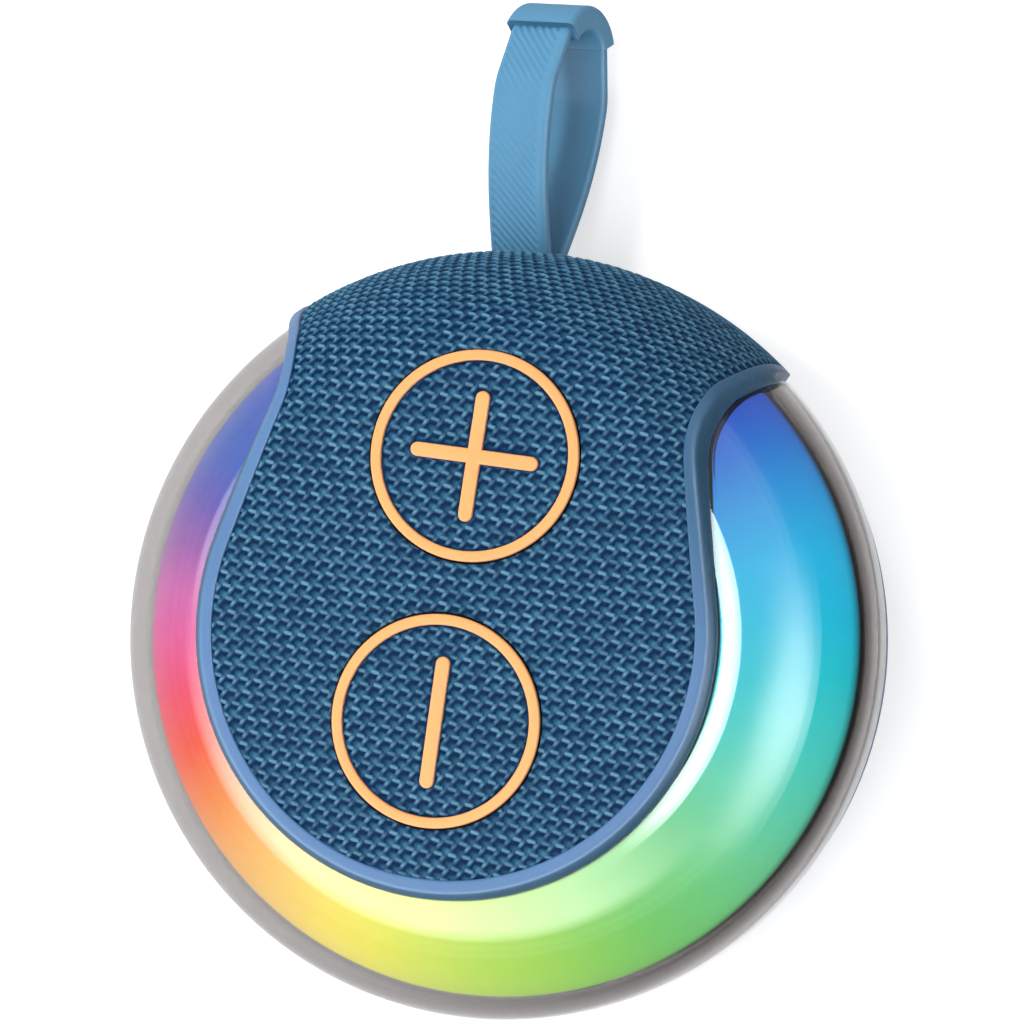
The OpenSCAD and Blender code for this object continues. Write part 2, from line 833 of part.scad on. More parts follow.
module usb_socket() {
    color("silver") at_wall(port_a) translate([usb_x - usb_l, 0, 0]) difference() {
        translate([0, -usb_w / 2, -usb_h / 2]) cube([usb_l, usb_w, usb_h]);
        translate([1.2, -usb_w / 2 + 0.35, -usb_h / 2 + 0.35]) cube([usb_l, usb_w - 0.7, usb_h - 0.7]);
    }
}

// Sideways tact switches behind the rear keys
module key_switches() {
    color("black") for (a = key_angles) at_wall(a) {
        translate([key_switch_x - 2.4, -2.4, main_board_top - key_z]) cube([1.9, 4.8, 3.4]);
        rod_x(1, key_switch_x - 0.6, key_switch_x);
    }
}

module board_screws() {
    color("silver") for (side = [-1, 1]) translate([side * board_post_x, board_post_y, 0]) {
        disc(small_head_r, main_board_top, main_board_top + small_head_h);
        disc(small_screw_r - small_bore_gap, floor_z + 0.2, main_board_top + 0.1);
    }
}

module battery() {
    z = floor_z + pad_t;
    color("lightsteelblue") translate([0, cell_y, z]) {
        translate([-cell_w / 2, 0, cell_h / 2]) intersection() {
            translate([0, -cell_d / 2, -cell_h / 2]) cube([cell_w, cell_d, cell_h]);
            rod_x(cell_d / 2 + 0.4, 0, cell_w);
        }
    }
}

module battery_pad() {
    color("gray") translate([-cell_w / 2 + 2, cell_y - cell_d / 2 + 2, floor_z])
        cube([cell_w - 4, cell_d - 4, pad_t]);
}

// Rubber key with a flange inside the wall
module rear_key(a) {
    color("midnightblue") at_wall(a) {
        rod_x(key_r, key_flange_x - key_flange_t, rear_r + key_proud);
        rod_x(key_flange_r, key_flange_x - key_flange_t, key_flange_x);
        rod_x(1, key_flange_x - key_flange_t - 0.3, key_flange_x);
    }
}

module power_key() {
    rear_key(key_angles[0]);
}

module light_key() {
    rear_key(key_angles[1]);
}

module play_key() {
    rear_key(key_angles[2]);
}

// Silicone flap that turns about its rounded end, with a shallow plug
module port_flap() {
    hinge_y = -flap_w / 2 + flap_t / 2;
    color("midnightblue") at_wall(port_a) {
        translate([flap_x, hinge_y, -flap_h / 2]) cube([flap_t, flap_w / 2 - hinge_y, flap_h]);
        translate([flap_x + flap_t / 2, hinge_y, -flap_h / 2])
            cylinder(r = flap_t / 2, h = flap_h, $fn = 48);
        translate([flap_x - plug_l, -plug_w / 2, -plug_h / 2]) cube([plug_l + 0.1, plug_w, plug_h]);
    }
}

// Outline of the strap loop, from its foot (y = 0) to its top, drawn in by inset
module loop_outline(inset) {
    hull() {
        for (k = [0:loop_steps])
            translate([loop_peak * k / loop_steps, 0])
                circle(r = (loop_foot + loop_swell * sin(90 * k / loop_steps)) / 2 - inset, $fn = 48);
        translate([strap_l - loop_top_r, 0]) circle(r = loop_top_r - inset, $fn = 48);
    }
}

// Extrudes an outline drawn in the plane of length and depth to a band of width w
module loop_band(w) {
    rotate([0, 0, 90]) rotate([90, 0, 0]) translate([0, 0, -w / 2]) linear_extrude(w) children();
}

// Silicone loop with a thicker sleeve at its top and a neck that turns on the pin
module strap() {
    color("skyblue") difference() {
        union() {
            translate([strap_x, loop_y, strap_pin_z]) rotate([0, -strap_twist, 0]) {
                loop_band(strap_w) difference() {
                    loop_outline(0);
                    loop_outline(strap_t);
                }
                loop_band(strap_w + 2 * sleeve_t) intersection() {
                    difference() {
                        loop_outline(-sleeve_t);
                        loop_outline(strap_t - 0.1);
                    }
                    translate([strap_l - sleeve_l, -big / 2]) square([big, big]);
                }
            }
            translate([strap_x, strap_pin_y, strap_pin_z]) rotate([-90, 0, 0])
                cylinder(r = neck_half, h = loop_y - strap_pin_y - 0.6);
            translate([strap_x, strap_pin_y, strap_pin_z]) rod_x(barrel_r, -strap_w / 2, strap_w / 2);
        }
        translate([strap_x, strap_pin_y, strap_pin_z]) rod_x(pin_r + pin_gap, -strap_w, strap_w);
    }
}

module strap_pin() {
    color("silver") translate([strap_x, strap_pin_y, strap_pin_z]) rod_x(pin_r, -pin_l / 2, pin_l / 2);
}

front_frame();
fabric_cover();
grille_plate();
button_mark(plus_y, true);  // plus_mark
button_fabric(plus_y);  // plus_fabric
button_cap(plus_y);  // plus_button
button_mark(minus_y, false);  // minus_mark
button_fabric(minus_y);  // minus_fabric
button_cap(minus_y);  // minus_button
button_board();
button_switches();
button_board_screws();
light_cover();
light_diffuser();
led_strip();
led_chips();
chassis();
driver_basket();
driver_magnet();
driver_yoke();
driver_top_plate();
driver_cone();
driver_coil();
driver_surround();
driver_spider();
driver_screws();
rear_housing();
housing_seal();
housing_screws();
foot_pad();
main_board();
bluetooth_module();
board_chips();
usb_socket();
key_switches();
board_screws();
battery();
battery_pad();
power_key();
light_key();
play_key();
port_flap();
strap();
strap_pin();
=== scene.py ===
"""Looks of a round portable speaker with a clear light ring, a knitted front and a silicone strap loop.

Lengths are in millimetres in the row frame, and mesh_object() turns them into metres.
"""

import json
import math

import bpy
import numpy as np
from mathutils import Matrix, Vector
from mathutils.bvhtree import BVHTree


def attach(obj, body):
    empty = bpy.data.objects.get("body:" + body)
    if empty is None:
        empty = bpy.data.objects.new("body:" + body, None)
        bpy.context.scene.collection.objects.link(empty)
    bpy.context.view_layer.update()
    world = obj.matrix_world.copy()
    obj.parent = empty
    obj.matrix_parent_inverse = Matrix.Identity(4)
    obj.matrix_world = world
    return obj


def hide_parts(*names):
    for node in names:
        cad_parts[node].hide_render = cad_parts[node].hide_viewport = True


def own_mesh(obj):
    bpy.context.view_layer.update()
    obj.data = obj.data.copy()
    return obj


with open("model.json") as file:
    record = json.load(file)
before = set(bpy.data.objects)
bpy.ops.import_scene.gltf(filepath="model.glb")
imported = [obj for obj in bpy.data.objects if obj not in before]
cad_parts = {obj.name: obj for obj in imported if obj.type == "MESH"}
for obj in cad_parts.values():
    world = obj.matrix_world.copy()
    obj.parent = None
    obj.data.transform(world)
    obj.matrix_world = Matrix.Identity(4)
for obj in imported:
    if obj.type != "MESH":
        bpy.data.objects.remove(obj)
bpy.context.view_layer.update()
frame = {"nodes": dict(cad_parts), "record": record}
MM = 0.001

# ---------------- sizes, as in part.scad
RING_R, REAR_H, ARC_Z, RING_ARC_R = 50.0, 16.0, 20.0, 32.0
RING_C = RING_R - RING_ARC_R
COVER_T = 2.2
CROWN_R, RIM_ARC, SHOULDER_ARC, SHOULDER_H, DOME_R = 51.0, 42.0, 15.0, 30.2, 640.0
PANEL_R, NECK_X, NECK_Y, NECK_R, TRIM_W, LIP_H = 32.8, 41.0, 28.0, 13.5, 2.0, 1.5
MARK_R, MARK_W, BAR_W, BAR_L, PLUS_Y, MINUS_Y = 13.25, 1.35, 1.8, 16.4, 21.9, -11.3
STRAP_X, STRAP_W, STRAP_T, STRAP_L, STRAP_Z, LOOP_Y = -6.5, 9.0, 2.0, 32.5, 10.3, 52.6
LOOP_DEPTH, LOOP_FOOT, STRAP_TWIST, SLEEVE_L, SLEEVE_T = 16.6, 6.4, 17.0, 3.8, 0.7
LOOP_PEAK, LOOP_TOP_R = STRAP_L * 0.62, LOOP_DEPTH / 2 - 1.8

RIM_C = CROWN_R - RIM_ARC
CROWN_A = math.asin((SHOULDER_H - SHOULDER_ARC) / (RIM_ARC - SHOULDER_ARC))
SHOULDER_C = RIM_C + (RIM_ARC - SHOULDER_ARC) * math.cos(CROWN_A)
SHOULDER_Z = ARC_Z + SHOULDER_H - SHOULDER_ARC
DOME_Z = SHOULDER_Z - math.sqrt((DOME_R - SHOULDER_ARC) ** 2 - SHOULDER_C**2)
DOME_A = math.atan2(SHOULDER_Z - DOME_Z, SHOULDER_C)
APEX_Z = DOME_Z + DOME_R
FLANK_A = math.atan2(NECK_Y, NECK_X) - math.acos((PANEL_R + NECK_R) / math.hypot(NECK_X, NECK_Y))

# ---------------- camera
CAMERA_AT = (108.41, 2.79, 484.89)
CAMERA_AIM = (-1.832, 16.558, 18.0)
CAMERA_ROLL = math.radians(8.25)
CAMERA_LENS = 127.25
SENSOR = 36.0
SHIFT_X, SHIFT_Y = 0.0, 0.0
IMAGE_W = IMAGE_H = 1024


def new_object(name, data):
    obj = bpy.data.objects.new(name, data)
    bpy.context.scene.collection.objects.link(obj)
    return obj


def make_camera():
    data = bpy.data.cameras.new("camera")
    data.lens = CAMERA_LENS
    data.sensor_width = SENSOR
    data.shift_x, data.shift_y = SHIFT_X, SHIFT_Y
    data.clip_start, data.clip_end = 0.01, 10
    obj = new_object("camera", data)
    at, aim = Vector(CAMERA_AT), Vector(CAMERA_AIM)
    back = (at - aim).normalized()
    right = Vector((0, 1, 0)).cross(back).normalized()
    up = back.cross(right)
    c, s = math.cos(CAMERA_ROLL), math.sin(CAMERA_ROLL)
    right, up = right * c + up * s, up * c - right * s
    m = Matrix((right, up, back)).transposed().to_4x4()
    m.translation = at * MM
    obj.matrix_world = m
    bpy.context.scene.camera = obj
    return obj


camera = make_camera()


# ---------------- image points
# Pixels of the 1024 x 1024 photograph: edges of the whole, then middles and ends of features
POINTS = {
    "plus_ring": (474.3, 455.3), "minus_ring": (435.0, 721.7), "plus_sign": (474.5, 456.5),
    "minus_sign": (435.0, 722.5), "left_shoulder": (305.5, 306.5), "right_shoulder": (790.0, 375.0),
    "strap_foot_left": (491.0, 250.0), "strap_foot_right": (568.5, 250.0), "sleeve_left": (508.5, 22.5),
    "sleeve_right": (612.5, 44.0)}
RAY_FROM, RAY_STEP, RAY_SPOTS = 0.3, 0.005, 60  # where a ray that misses looks for a near place, in metres


def camera_axes():
    m = camera.matrix_world
    return m.translation, m.col[0].to_3d(), m.col[1].to_3d(), -m.col[2].to_3d()


def image_ray(x, y):
    """Start and direction of the ray through pixel (x, y), in metres."""
    at, right, up, ahead = camera_axes()
    long_side = max(IMAGE_W, IMAGE_H)
    u = x - IMAGE_W / 2 + SHIFT_X * long_side
    v = IMAGE_H / 2 - y + SHIFT_Y * long_side
    depth = long_side * CAMERA_LENS / SENSOR
    return at, (right * u + up * v + ahead * depth).normalized()


def project(points):
    """Pixels of an (n, 3) array of points in metres."""
    at, right, up, ahead = (np.array(v) for v in camera_axes())
    offset = points - at
    scale = max(IMAGE_W, IMAGE_H) * CAMERA_LENS / SENSOR / (offset @ ahead)
    return np.stack([IMAGE_W / 2 - SHIFT_X * IMAGE_W + offset @ right * scale,
                     IMAGE_H / 2 + SHIFT_Y * IMAGE_W - offset @ up * scale], -1)


def finished_vertices(obj):
    """Vertices of a finished piece in the row frame, in metres."""
    mesh = obj.data
    flat = np.empty(len(mesh.vertices) * 3, np.float32)
    mesh.vertices.foreach_get("co", flat)
    m = np.array(obj.matrix_world)
    return flat.reshape(-1, 3) @ m[:3, :3].T + m[:3, 3]


def surface_tree(name):
    """BVH tree of a finished piece, in metres."""
    obj = bpy.data.objects[name]
    verts = [tuple(v) for v in finished_vertices(obj)]
    return BVHTree.FromPolygons(verts, [list(face.vertices) for face in obj.data.polygons])


def place(point, tree):
    """Where the ray through an image point meets the tree, in mm; a miss takes the place nearest the ray."""
    start, direction = image_ray(*point)
    hit = tree.ray_cast(start, direction)[0]
    if hit is None:
        spots = [start + direction * (RAY_FROM + RAY_STEP * k) for k in range(RAY_SPOTS)]
        hit = min((tree.find_nearest(spot) for spot in spots), key=lambda found: found[3])[0]
    return np.array(hit) / MM


# ---------------- meshes
def signed_volume(verts, faces):
    """Six times the signed volume under a closed surface: negative where its faces look inward."""
    fans = [(face[0], face[k], face[k + 1]) for face in faces for k in range(1, len(face) - 1)]
    a, b, c = (verts[np.array(fans)[:, k]] for k in range(3))
    return float((a * np.cross(b, c)).sum())


def point_values(mesh, name, values):
    """Gives each vertex a number that materials can read under this name."""
    layer = mesh.attributes.new(name, "FLOAT", "POINT")
    layer.data.foreach_set("value", np.asarray(values, np.float32).ravel())


def mesh_object(name, verts, faces, body, material):
    """A smooth piece from vertices in mm and its faces: an array if it is open, and lists if it is closed."""
    mesh = bpy.data.meshes.new(name)
    if isinstance(faces, np.ndarray):
        n, k = faces.shape
        mesh.vertices.add(len(verts))
        mesh.vertices.foreach_set("co", (verts * MM).astype(np.float32).ravel())
        mesh.loops.add(n * k)
        mesh.loops.foreach_set("vertex_index", faces.astype(np.int32).ravel())
        mesh.polygons.add(n)
        mesh.polygons.foreach_set("loop_start", np.arange(0, n * k, k, dtype=np.int32))
        mesh.update(calc_edges=True)
    else:
        if signed_volume(verts, faces) < 0:
            faces = [list(face)[::-1] for face in faces]
        mesh.from_pydata([tuple(v * MM) for v in verts], [], faces)
    mesh.validate()
    mesh.polygons.foreach_set("use_smooth", [True] * len(mesh.polygons))
    mesh.materials.append(material)
    obj = new_object(name, mesh)
    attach(obj, body)
    return obj


def loft(rings, closed_path, closed_section):
    """Vertices and quads of a surface through rings, an (n, m, 3) array."""
    n, m = rings.shape[:2]
    i = np.arange(n if closed_path else n - 1)
    j = np.arange(m if closed_section else m - 1)
    ii, jj = np.meshgrid(i, j, indexing="ij")
    i2, j2 = (ii + 1) % n, (jj + 1) % m
    quads = np.stack([ii * m + jj, i2 * m + jj, i2 * m + j2, ii * m + j2], -1).reshape(-1, 4)
    return rings.reshape(-1, 3), quads


def unit(v):
    return v / np.maximum(np.linalg.norm(v, axis=-1, keepdims=True), 1e-12)


def length_along(points):
    """Distance from a polyline's start to each of its points."""
    return np.concatenate([[0], np.cumsum(np.linalg.norm(np.diff(points, axis=0), axis=1))])


def whole_turn(count):
    return np.linspace(0, 2 * math.pi, count, endpoint=False)


def polar(r, phi, z):
    """Points at radius r and height z in direction phi."""
    return np.stack(np.broadcast_arrays(r * np.cos(phi), r * np.sin(phi), z), -1)


def smooth_step(t):
    """0 to 1 with level ends, as t goes from 0 to 1."""
    t = np.clip(t, 0, 1)
    return t * t * (3 - 2 * t)


# ---------------- crown surface
def crown_point(a, phi, depth):
    """Point at normal angle a and direction phi, sunk by depth. Below the arcs the side is vertical."""
    low = np.minimum(a, 0) * RIM_ARC
    a = np.maximum(a, 0)
    centre_r = np.where(a < CROWN_A, RIM_C, np.where(a < DOME_A, SHOULDER_C, 0.0))
    centre_z = np.where(a < CROWN_A, ARC_Z, np.where(a < DOME_A, SHOULDER_Z, DOME_Z))
    radius = np.where(a < CROWN_A, RIM_ARC, np.where(a < DOME_A, SHOULDER_ARC, DOME_R)) - depth
    return polar(centre_r + radius * np.cos(a), phi, centre_z + radius * np.sin(a) + low)


def crown_angle(points):
    """Normal angle a and direction phi of the crown's surface nearest to points."""
    r = np.hypot(points[..., 0], points[..., 1])
    z = points[..., 2]
    phi = np.arctan2(points[..., 1], points[..., 0])
    dome = np.arctan2(z - DOME_Z, r)
    shoulder = np.arctan2(z - SHOULDER_Z, r - SHOULDER_C)
    rim = np.where(z > ARC_Z, np.arctan2(z - ARC_Z, r - RIM_C), (z - ARC_Z) / RIM_ARC)
    a = np.where(r * math.sin(DOME_A) < (z - DOME_Z) * math.cos(DOME_A), dome,
                 np.where(shoulder > CROWN_A, shoulder, rim))
    return a, phi


def crown_normal(a, phi):
    a = np.maximum(a, 0)
    return polar(np.cos(a), phi, np.sin(a))


# Rows from the apex down to the vertical side: normal angle, radius, height, distance along the surface
DOME_ROWS, ARC_ROWS, SIDE_ROWS, SIDE_H = 40, 60, 20, 6.0
row_a = np.concatenate([
    np.linspace(math.pi / 2, DOME_A, DOME_ROWS), np.linspace(DOME_A, CROWN_A, ARC_ROWS)[1:],
    np.linspace(CROWN_A, 0, ARC_ROWS)[1:], np.linspace(0, -SIDE_H / RIM_ARC, SIDE_ROWS)[1:]])
row_point = crown_point(row_a, 0.0, 0.0)
row_point[0] = (0, 0, APEX_Z)
row_length = length_along(row_point)
TO_RIM = slice(0, DOME_ROWS + 2 * (ARC_ROWS - 1) + 1)  # up to the first row of the side
rim_a, rim_r, rim_z = row_a[TO_RIM], row_point[TO_RIM, 0], row_point[TO_RIM, 2]


def keyhole_gap(x, y):
    """Distance inside the front frame's outline, negative outside it."""
    x = np.abs(x)
    c, s = math.cos(FLANK_A), math.sin(FLANK_A)
    along = -x * s + y * c
    end = -NECK_X * s + NECK_Y * c
    circle = PANEL_R - np.hypot(x, y)
    line = PANEL_R - (x * c + y * s)
    neck = np.hypot(x - NECK_X, y - NECK_Y) - NECK_R
    return np.where(along < 0, circle, np.where(along < end, line, neck))


def outline_radius(theta, inset=0.0):
    """Radius of the keyhole's outline in direction theta, below the shoulders."""
    folded = np.arctan2(np.sin(theta), np.abs(np.cos(theta)))
    low_r, neck_r = PANEL_R - inset, NECK_R + inset
    line = low_r / np.maximum(np.cos(folded - FLANK_A), 0.05)
    far = math.hypot(NECK_X, NECK_Y)
    off = folded - math.atan2(NECK_Y, NECK_X)
    root = neck_r**2 - (far * np.sin(off)) ** 2
    arc = far * np.cos(off) - np.sqrt(np.maximum(root, 0))
    high = math.atan2(NECK_Y - neck_r * math.sin(FLANK_A), NECK_X - neck_r * math.cos(FLANK_A))
    return np.where(folded < FLANK_A, low_r, np.where(folded < high, line, arc))


def tip_angle(radius, inset=0.0):
    """Direction of the right shoulder tip, where the outline meets a circle of this radius."""
    far, neck_r = math.hypot(NECK_X, NECK_Y), NECK_R + inset
    return math.atan2(NECK_Y, NECK_X) + math.acos((far**2 + radius**2 - neck_r**2) / (2 * far * radius))


# ---------------- material nodes
class Nodes:
    """Short calls for building the node tree of one material, or of the world."""

    def __init__(self, name, world=False):
        self.owner = (bpy.data.worlds if world else bpy.data.materials).new(name)
        self.owner.use_nodes = True
        self.tree = self.owner.node_tree
        self.tree.nodes.clear()
        self.out = self.add("OutputWorld" if world else "OutputMaterial")

    def add(self, kind, **settings):
        node = self.tree.nodes.new("ShaderNode" + kind)
        for key, value in settings.items():
            setattr(node, key, value)
        return node

    def feed(self, socket, value):
        """Links an input to another node's output, or sets it to a number or colour."""
        if isinstance(value, bpy.types.NodeSocket):
            self.tree.links.new(value, socket)
        else:
            socket.default_value = value

    def put(self, node, **values):
        """Feeds inputs by name, with _ for a space."""
        for key, value in values.items():
            self.feed(node.inputs[key.replace("_", " ")], value)
        return node

    def fill(self, node, *values):
        """Feeds inputs in their order."""
        for socket, value in zip(node.inputs, values):
            self.feed(socket, value)
        return node

    def position(self):
        return self.add("TexCoord").outputs["Object"]

    def value(self, name):
        """What point_values() gave the mesh under this name."""
        return self.add("Attribute", attribute_name=name).outputs["Fac"]

    def noise(self, scale, detail=3.0, roughness=0.5, vector=None):
        node = self.put(self.add("TexNoise"), Scale=scale, Detail=detail, Roughness=roughness)
        return self.put(node, Vector=vector or self.position()).outputs["Fac"]

    def ramp(self, value, *stops):
        """Colour through (place, colour) stops."""
        node = self.put(self.add("ValToRGB"), Fac=value)
        elements = node.color_ramp.elements
        while len(elements) < len(stops):
            elements.new(0.5)
        for element, (at, colour) in zip(elements, stops):
            element.position = at
            element.color = (*colour, 1)
        return node.outputs["Color"]

    def span(self, value, low, high, to_low, to_high):
        """Takes low to high over to to_low to to_high."""
        node = self.put(self.add("MapRange"), Value=value, From_Min=low, From_Max=high)
        return self.put(node, To_Min=to_low, To_Max=to_high).outputs["Result"]

    def math(self, operation, *values):
        return self.fill(self.add("Math", operation=operation), *values).outputs[0]

    def mix(self, factor, first, second, blend="MIX"):
        node = self.add("Mix", data_type="RGBA", blend_type=blend)
        return self.put(node, Factor=factor, A=first, B=second).outputs["Result"]

    def bump(self, height, strength, distance):
        """Normal from a height, with the distance in mm."""
        node = self.put(self.add("Bump"), Strength=strength, Distance=distance * MM, Height=height)
        return node.outputs["Normal"]

    def looked_at(self):
        """1 for rays from the camera, reflected or through clear pieces, and 0 for rays that light things."""
        rays = self.add("LightPath").outputs
        bounced = self.math("MAXIMUM", rays["Is Glossy Ray"], rays["Is Transmission Ray"])
        return self.math("MAXIMUM", rays["Is Camera Ray"], bounced)

    def finish(self, node):
        self.put(self.out, Surface=node.outputs[0])
        return self.owner

    def principled(self, **values):
        return self.finish(self.put(self.add("BsdfPrincipled"), **values))


def shade(colour, factor):
    return tuple(min(1.0, c * factor) for c in colour)


def moulded(name, colour, roughness=0.45, grain=900.0, depth=0.02, variation=0.08, spread=0.08, crest=None):
    """Moulded plastic, rubber or coated metal with fine grain and slight colour variation.

    Where the mesh's crest value is 1, it takes the crest's colour; on the trim that is a painted lit top face
    over a painted shaded flank.
    """
    n = Nodes(name)
    cloud = n.noise(60.0, 3.0, 0.55)
    fine = n.noise(grain, 4.0, 0.6)

    def varied(tint):
        return n.ramp(cloud, (0.3, shade(tint, 1 - variation)), (0.7, shade(tint, 1 + variation)))

    base = varied(colour)
    if crest:
        base = n.mix(n.value("crest"), base, varied(crest))
    rough = n.span(fine, 0.3, 0.7, roughness - spread, roughness + spread)
    return n.principled(Base_Color=base, Roughness=rough, Normal=n.bump(fine, 0.25, depth))


def metal(name, colour, stretch):
    """Metal with fine drawn lines, stretched along z."""
    n = Nodes(name)
    mapping = n.put(n.add("Mapping"), Scale=(1, 1, stretch), Vector=n.position())
    lines = n.noise(260.0, 4.0, 0.6, mapping.outputs["Vector"])
    base = n.ramp(lines, (0.3, shade(colour, 0.88)), (0.7, shade(colour, 1.06)))
    return n.principled(Metallic=1.0, Base_Color=base, Roughness=n.span(lines, 0.3, 0.7, 0.23, 0.4),
                        Normal=n.bump(lines, 0.2, 0.01))


def knit_material():
    """Knitted polyester, steel blue on the yarns' crests, with painted shade that darkens it down into the
    hollows between the yarns, and fine filaments.
    """
    n = Nodes("knit")
    fibre = n.noise(5200.0, 2.0, 0.6)
    height = n.math("ADD", n.value("yarn"), n.math("MULTIPLY", n.math("SUBTRACT", fibre, 0.5), 0.22))
    # painted shade: the lower the yarn value, the darker the colour, as shade in the hollows
    base = n.ramp(height, (0.0, (0.001, 0.018, 0.060)), (0.3, (0.004, 0.037, 0.100)),
                  (0.62, (0.031, 0.110, 0.195)), (1.0, (0.112, 0.252, 0.372)))
    tint = n.ramp(n.value("tone"), (0.0, (0.72, 0.74, 0.78)), (1.0, (1.18, 1.16, 1.12)))
    return n.principled(Base_Color=n.mix(1.0, base, tint, "MULTIPLY"), Specular_IOR_Level=0.08,
                        Roughness=n.span(fibre, 0.3, 0.7, 0.5, 0.72), Normal=n.bump(fibre, 0.35, 0.05))


def glow_material():
    """Milky diffuser lit by coloured chips: the colour turns round the axis, and the foot stays dark."""
    n = Nodes("glow")
    x, y, z = n.fill(n.add("SeparateXYZ"), n.position()).outputs
    turn = n.span(n.math("ARCTAN2", x, n.math("MULTIPLY", y, -1.0)), -math.pi, math.pi, 0.0, 1.0)
    wobble = n.math("MULTIPLY", n.math("SUBTRACT", n.noise(22.0, 1.0), 0.5), 0.03)
    colour = n.ramp(n.math("ADD", turn, wobble), *GLOW_STOPS)
    radius = n.math("SQRT", n.math("ADD", n.math("MULTIPLY", x, x), n.math("MULTIPLY", y, y)))
    outward = n.span(radius, 30 * MM, 47 * MM, 0.95, 1.02)
    upward = n.span(z, 22.5 * MM, 27 * MM, 0.01, 1.0)
    light = n.mix(1.0, colour, n.math("MULTIPLY", outward, upward), "MULTIPLY")
    return n.principled(Base_Color=(0.02, 0.018, 0.017, 1), Roughness=0.45, Specular_IOR_Level=0.0,
                        Emission_Color=light, Emission_Strength=1.0, Normal=n.bump(n.noise(300.0), 0.1, 0.02))


def srgb(r, g, b):
    def one(c):
        c /= 255
        return c / 12.92 if c <= 0.04045 else ((c + 0.055) / 1.055) ** 2.4
    return (one(r), one(g), one(b))


VEIL, SHARE = 0.045, 0.675  # pale reflections over the glow, and the share of its light that comes through


def lit(colour):
    """Light that a spot of the glow gives off to show as this colour under the clear ring."""
    return tuple(max(c - VEIL, 0.0) / SHARE for c in srgb(*colour))


# Colours round the ring, where a turn of 0 is the strap's side (+Y), a quarter is -X and a half is the foot
STRAP_SIDE = (70, 85, 195)
ROUND_THE_RING = [
    (70, 105, 195), (105, 95, 188), (158, 100, 180), (211, 105, 180), (234, 90, 160), (243, 74, 112),
    (250, 88, 55), (251, 146, 76), (254, 188, 106), (254, 214, 114), (254, 236, 106), (240, 240, 98),
    (214, 236, 100), (189, 230, 98), (166, 222, 98), (142, 213, 104), (122, 208, 116), (118, 209, 134),
    (116, 210, 156), (104, 211, 178), (84, 207, 200), (64, 200, 214), (56, 192, 226), (64, 184, 232),
    (70, 160, 224), (68, 126, 212), (70, 95, 200)]
FIRST_STEP, STEPS_ROUND = 6, 36
GLOW_STOPS = [(0.0, lit(STRAP_SIDE)),
              *(((FIRST_STEP + k) / STEPS_ROUND, lit(colour)) for k, colour in enumerate(ROUND_THE_RING)),
              (1.0, lit(STRAP_SIDE))]


def clear_material():
    """Polished clear polycarbonate with a faint warm grey cast and hairline swirls."""
    n = Nodes("clear_pc")
    swirl = n.noise(420.0, 3.0, 0.6)
    smoke = n.put(n.add("VolumeAbsorption"), Color=(0.33, 0.25, 0.21, 1), Density=135.0)
    n.put(n.out, Volume=smoke.outputs[0])
    base = n.ramp(swirl, (0.3, (0.93, 0.93, 0.935)), (0.7, (0.96, 0.96, 0.96)))
    rough = n.span(swirl, 0.3, 0.7, 0.015, 0.04)
    return n.principled(Transmission_Weight=1.0, IOR=1.45, Base_Color=base, Roughness=rough,
                        Normal=n.bump(n.noise(35.0, 1.0), 0.02, 0.05))


BLUE, LIT_SLATE, SHADED_TEAL = srgb(64, 114, 153), srgb(80, 119, 164), srgb(30, 82, 112)
ORANGE, SKY = srgb(249, 168, 101), srgb(80, 138, 173)
NAVY, DEEP_NAVY = srgb(38, 74, 112), srgb(34, 64, 98)
MOULDED = {  # colour, roughness, grain, depth of the grain, variation of colour, spread of roughness, crest (a painted lit colour)
    "blue_abs": (BLUE, 0.38, 1400.0, 0.012, 0.05),
    # the trim is one blue plastic: its teal is painted shade on the flank, and its slate a painted lit top
    # face
    "trim_abs": (SHADED_TEAL, 0.39, 1400.0, 0.012, 0.05, 0.07, LIT_SLATE),
    "orange_tpu": (ORANGE, 0.5, 1600.0, 0.012, 0.04),
    "sky_silicone": (SKY, 0.55, 1300.0, 0.015, 0.05),
    "navy_abs": (NAVY, 0.5, 1100.0, 0.02, 0.06),
    "navy_silicone": (DEEP_NAVY, 0.65, 1300.0, 0.02, 0.07),
    "black_abs": ((0.02, 0.022, 0.025), 0.5),
    "smoke_abs": ((0.045, 0.039, 0.036), 0.5),
    "circuit": ((0.02, 0.15, 0.07), 0.35, 700.0),
    "white_flex": ((0.8, 0.8, 0.78), 0.4),
    "led": ((0.85, 0.8, 0.5), 0.2),
    "chip": ((0.02, 0.02, 0.022), 0.4),
    "black_steel": ((0.03, 0.03, 0.032), 0.4, 500.0),
    "ferrite": ((0.05, 0.05, 0.052), 0.6, 300.0, 0.04),
    "paper_cone": ((0.05, 0.05, 0.055), 0.85, 900.0, 0.06, 0.2),
    "spider_cloth": ((0.5, 0.34, 0.11), 0.8, 1500.0, 0.06, 0.15),
    "black_rubber": ((0.018, 0.018, 0.019), 0.75, 900.0, 0.03, 0.12),
    "cell_wrap": ((0.45, 0.52, 0.58), 0.3, 200.0, 0.05),
    "foam": ((0.1, 0.1, 0.1), 0.9, 1800.0, 0.08, 0.2),
    "milky_pc": ((0.7, 0.66, 0.8), 0.4),
}
materials = {name: moulded(name, *values) for name, values in MOULDED.items()}
materials |= {"knit": knit_material(), "glow": glow_material(), "clear_pc": clear_material(),
              "steel": metal("steel", (0.62, 0.63, 0.65), 18),
              "copper": metal("copper", (0.75, 0.36, 0.18), 60)}

slot_of = {part["node"]: part["material_slot"] for part in frame["record"]["subparts"]}
for node, obj in frame["nodes"].items():
    obj.data.materials.clear()
    obj.data.materials.append(materials[slot_of[node]])


